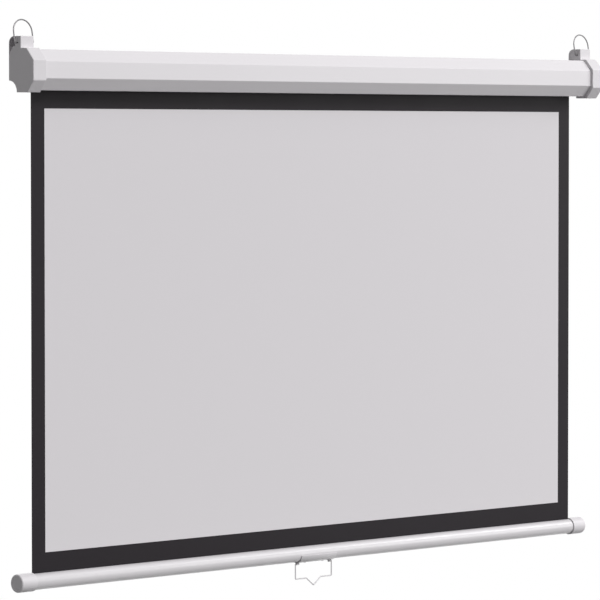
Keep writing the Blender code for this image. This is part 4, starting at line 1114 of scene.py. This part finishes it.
def make_floor(stage):
    """A pale floor that looks white and keeps the shadow of what hangs over it."""
    floor = begin("floor", bpy.ops.mesh.primitive_circle_add, vertices=96, radius=FLOOR_RADIUS,
                  fill_type="NGON", location=(0.0, 0.0, BAR_CAP_LOW.z - stage.floor_drop))
    bpy.ops.mesh.inset(thickness=FLOOR_RIM)
    leave_mesh()
    material = bpy.data.materials.new("pale_floor")
    recipe = Recipe(material)

    def matt(grey):
        return recipe.node("ShaderNodeBsdfDiffuse", {"Color": (grey, grey, grey, 1.0)})

    def glow(strength):
        return recipe.node("ShaderNodeEmission", {"Color": (1.0, 1.0, 1.0, 1.0), "Strength": strength})

    level = recipe.node("ShaderNodeVectorMath", {0: recipe.place(), 1: (1.0, 1.0, 0.0)}, operation="MULTIPLY")
    reach = recipe.node("ShaderNodeVectorMath", {0: level}, 1, operation="LENGTH")
    near, far = FLOOR_FADE
    fade = recipe.node("ShaderNodeMapRange", {"Value": reach, "From Min": near, "From Max": far},
                       interpolation_type="SMOOTHSTEP")
    recipe.tree.nodes.remove(recipe.shader)
    shadowed = recipe.node("ShaderNodeAddShader", {0: matt(FLOOR_GREY), 1: glow(FLOOR_GLOW)})
    looked_at = recipe.node("ShaderNodeMixShader", {0: fade, 1: shadowed, 2: glow(1.0)})
    both = recipe.node("ShaderNodeMixShader", {0: seen_directly(recipe), 1: matt(FLOOR_BOUNCE), 2: looked_at})
    recipe.feed(recipe.tree.nodes["Material Output"].inputs["Surface"], both)
    floor.data.materials.append(material)


def make_world(stage):
    """White to look at, and a weak even light on the object."""
    world = bpy.data.worlds.new("studio")
    bpy.context.scene.world = world
    recipe = Recipe(world)
    background = recipe.tree.nodes["Background"]
    background.inputs["Color"].default_value = (1.0, 1.0, 1.0, 1.0)
    recipe.feed(background.inputs["Strength"], seen_directly(recipe) * (1.0 - stage.ambient) + stage.ambient)


def make_lamps(stage):
    """The wide even light from above the camera's right and the rectangular lamps round the screen."""
    bpy.ops.object.light_add(type="SUN", location=KEY_PLACE, rotation=KEY_TURN)
    key = bpy.context.object
    key.name = "key"
    key.data.energy = stage.key
    key.data.angle = stage.key_spread
    for name, (place, size) in LAMPS.items():
        turn = (LAMP_AIM - Vector(place)).to_track_quat("-Z", "Y").to_euler()
        bpy.ops.object.light_add(type="AREA", location=place, rotation=tuple(turn))
        lamp = bpy.context.object
        lamp.name = name
        lamp.data.shape = "RECTANGLE"
        lamp.data.size, lamp.data.size_y = size
        lamp.data.energy = getattr(stage, name)
        lamp.visible_camera = False


def make_camera(stage):
    """The photograph's viewpoint."""
    bpy.ops.object.camera_add(location=CAMERA_PLACE, rotation=CAMERA_TURN)
    camera = bpy.context.object
    camera.name = "viewpoint"
    camera.data.lens = stage.lens
    camera.data.sensor_width = SENSOR
    camera.data.clip_end = SIGHT
    bpy.context.scene.camera = camera


# Operators, one for each piece or group

class SCREEN_OT_case(bpy.types.Operator):
    """Models the folded case"""

    bl_idname = "screen.case"
    bl_label = "Case"

    def execute(self, context):
        make_case(context.scene.screen_case)
        return {"FINISHED"}


class SCREEN_OT_caps(bpy.types.Operator):
    """Models the two moulded end caps"""

    bl_idname = "screen.caps"
    bl_label = "End caps"

    def execute(self, context):
        make_caps(context.scene.screen_case, context.scene.screen_bar)
        return {"FINISHED"}


class SCREEN_OT_screws(bpy.types.Operator):
    """Models the screws of the end caps"""

    bl_idname = "screen.screws"
    bl_label = "Cap screws"

    def execute(self, context):
        make_screws()
        return {"FINISHED"}


class SCREEN_OT_bar(bpy.types.Operator):
    """Models the weight bar and its end caps"""

    bl_idname = "screen.bar"
    bl_label = "Weight bar"

    def execute(self, context):
        make_bar(context.scene.screen_bar)
        make_bar_caps(context.scene.screen_bar)
        return {"FINISHED"}


class SCREEN_OT_clip(bpy.types.Operator):
    """Models the handle's clip and its rivets"""

    bl_idname = "screen.clip"
    bl_label = "Clip and rivets"

    def execute(self, context):
        make_clip(context.scene.screen_bar)
        make_rivets()
        return {"FINISHED"}


class SCREEN_OT_wires(bpy.types.Operator):
    """Bends the hangers and the pull handle"""

    bl_idname = "screen.wires"
    bl_label = "Hangers and handle"

    def execute(self, context):
        make_hangers(context.scene.screen_bar)
        make_handle(context.scene.screen_bar)
        return {"FINISHED"}


class SCREEN_OT_cloth(bpy.types.Operator):
    """Hangs the bordered cloth"""

    bl_idname = "screen.cloth"
    bl_label = "Cloth"

    def execute(self, context):
        make_cloth(context.scene.screen_cloth)
        make_wound_cloth(context.scene.screen_cloth)
        return {"FINISHED"}


class SCREEN_OT_inner(bpy.types.Operator):
    """Finishes the roller, the brackets and the lock inside the case"""

    bl_idname = "screen.inner"
    bl_label = "Inner pieces"

    def execute(self, context):
        finish_inner_pieces()
        return {"FINISHED"}


class SCREEN_OT_stage(bpy.types.Operator):
    """Sets up the floor, the lamps and the camera"""

    bl_idname = "screen.stage"
    bl_label = "Stage"

    def execute(self, context):
        stage = context.scene.screen_stage
        make_floor(stage)
        make_world(stage)
        make_lamps(stage)
        make_camera(stage)
        return {"FINISHED"}


class SCREEN_PT_pieces(bpy.types.Panel):
    """Lists the pieces and their sizes in the sidebar."""

    bl_idname = "SCREEN_PT_pieces"
    bl_label = "Projector screen"
    bl_space_type = "VIEW_3D"
    bl_region_type = "UI"
    bl_category = "Screen"

    def draw(self, context):
        for operator in OPERATORS:
            self.layout.operator(operator.bl_idname)
        for name in GROUPS:
            group = getattr(context.scene, name)
            box = self.layout.box()
            for key in type(group).__annotations__:
                box.prop(group, key)


OPERATORS = (SCREEN_OT_stage, SCREEN_OT_inner, SCREEN_OT_case, SCREEN_OT_caps, SCREEN_OT_screws,
             SCREEN_OT_bar, SCREEN_OT_clip, SCREEN_OT_wires, SCREEN_OT_cloth)
GROUPS = {
    "screen_case": ScreenCaseSizes,
    "screen_cloth": ScreenClothSizes,
    "screen_bar": ScreenBarSizes,
    "screen_colours": ScreenColours,
    "screen_stage": ScreenStage,
}


def register():
    for group in (*GROUPS.values(), *OPERATORS, SCREEN_PT_pieces):
        bpy.utils.register_class(group)
    for name, group in GROUPS.items():
        setattr(bpy.types.Scene, name, PointerProperty(type=group))


def unregister():
    for name in GROUPS:
        delattr(bpy.types.Scene, name)
    for group in reversed((*GROUPS.values(), *OPERATORS, SCREEN_PT_pieces)):
        bpy.utils.unregister_class(group)


def main():
    """Builds every piece in order."""
    register()
    for operator in OPERATORS:
        getattr(bpy.ops.screen, operator.bl_idname.split(".")[1])()
    bpy.context.scene.view_settings.view_transform = "Standard"


if __name__ == "__main__":
    main()
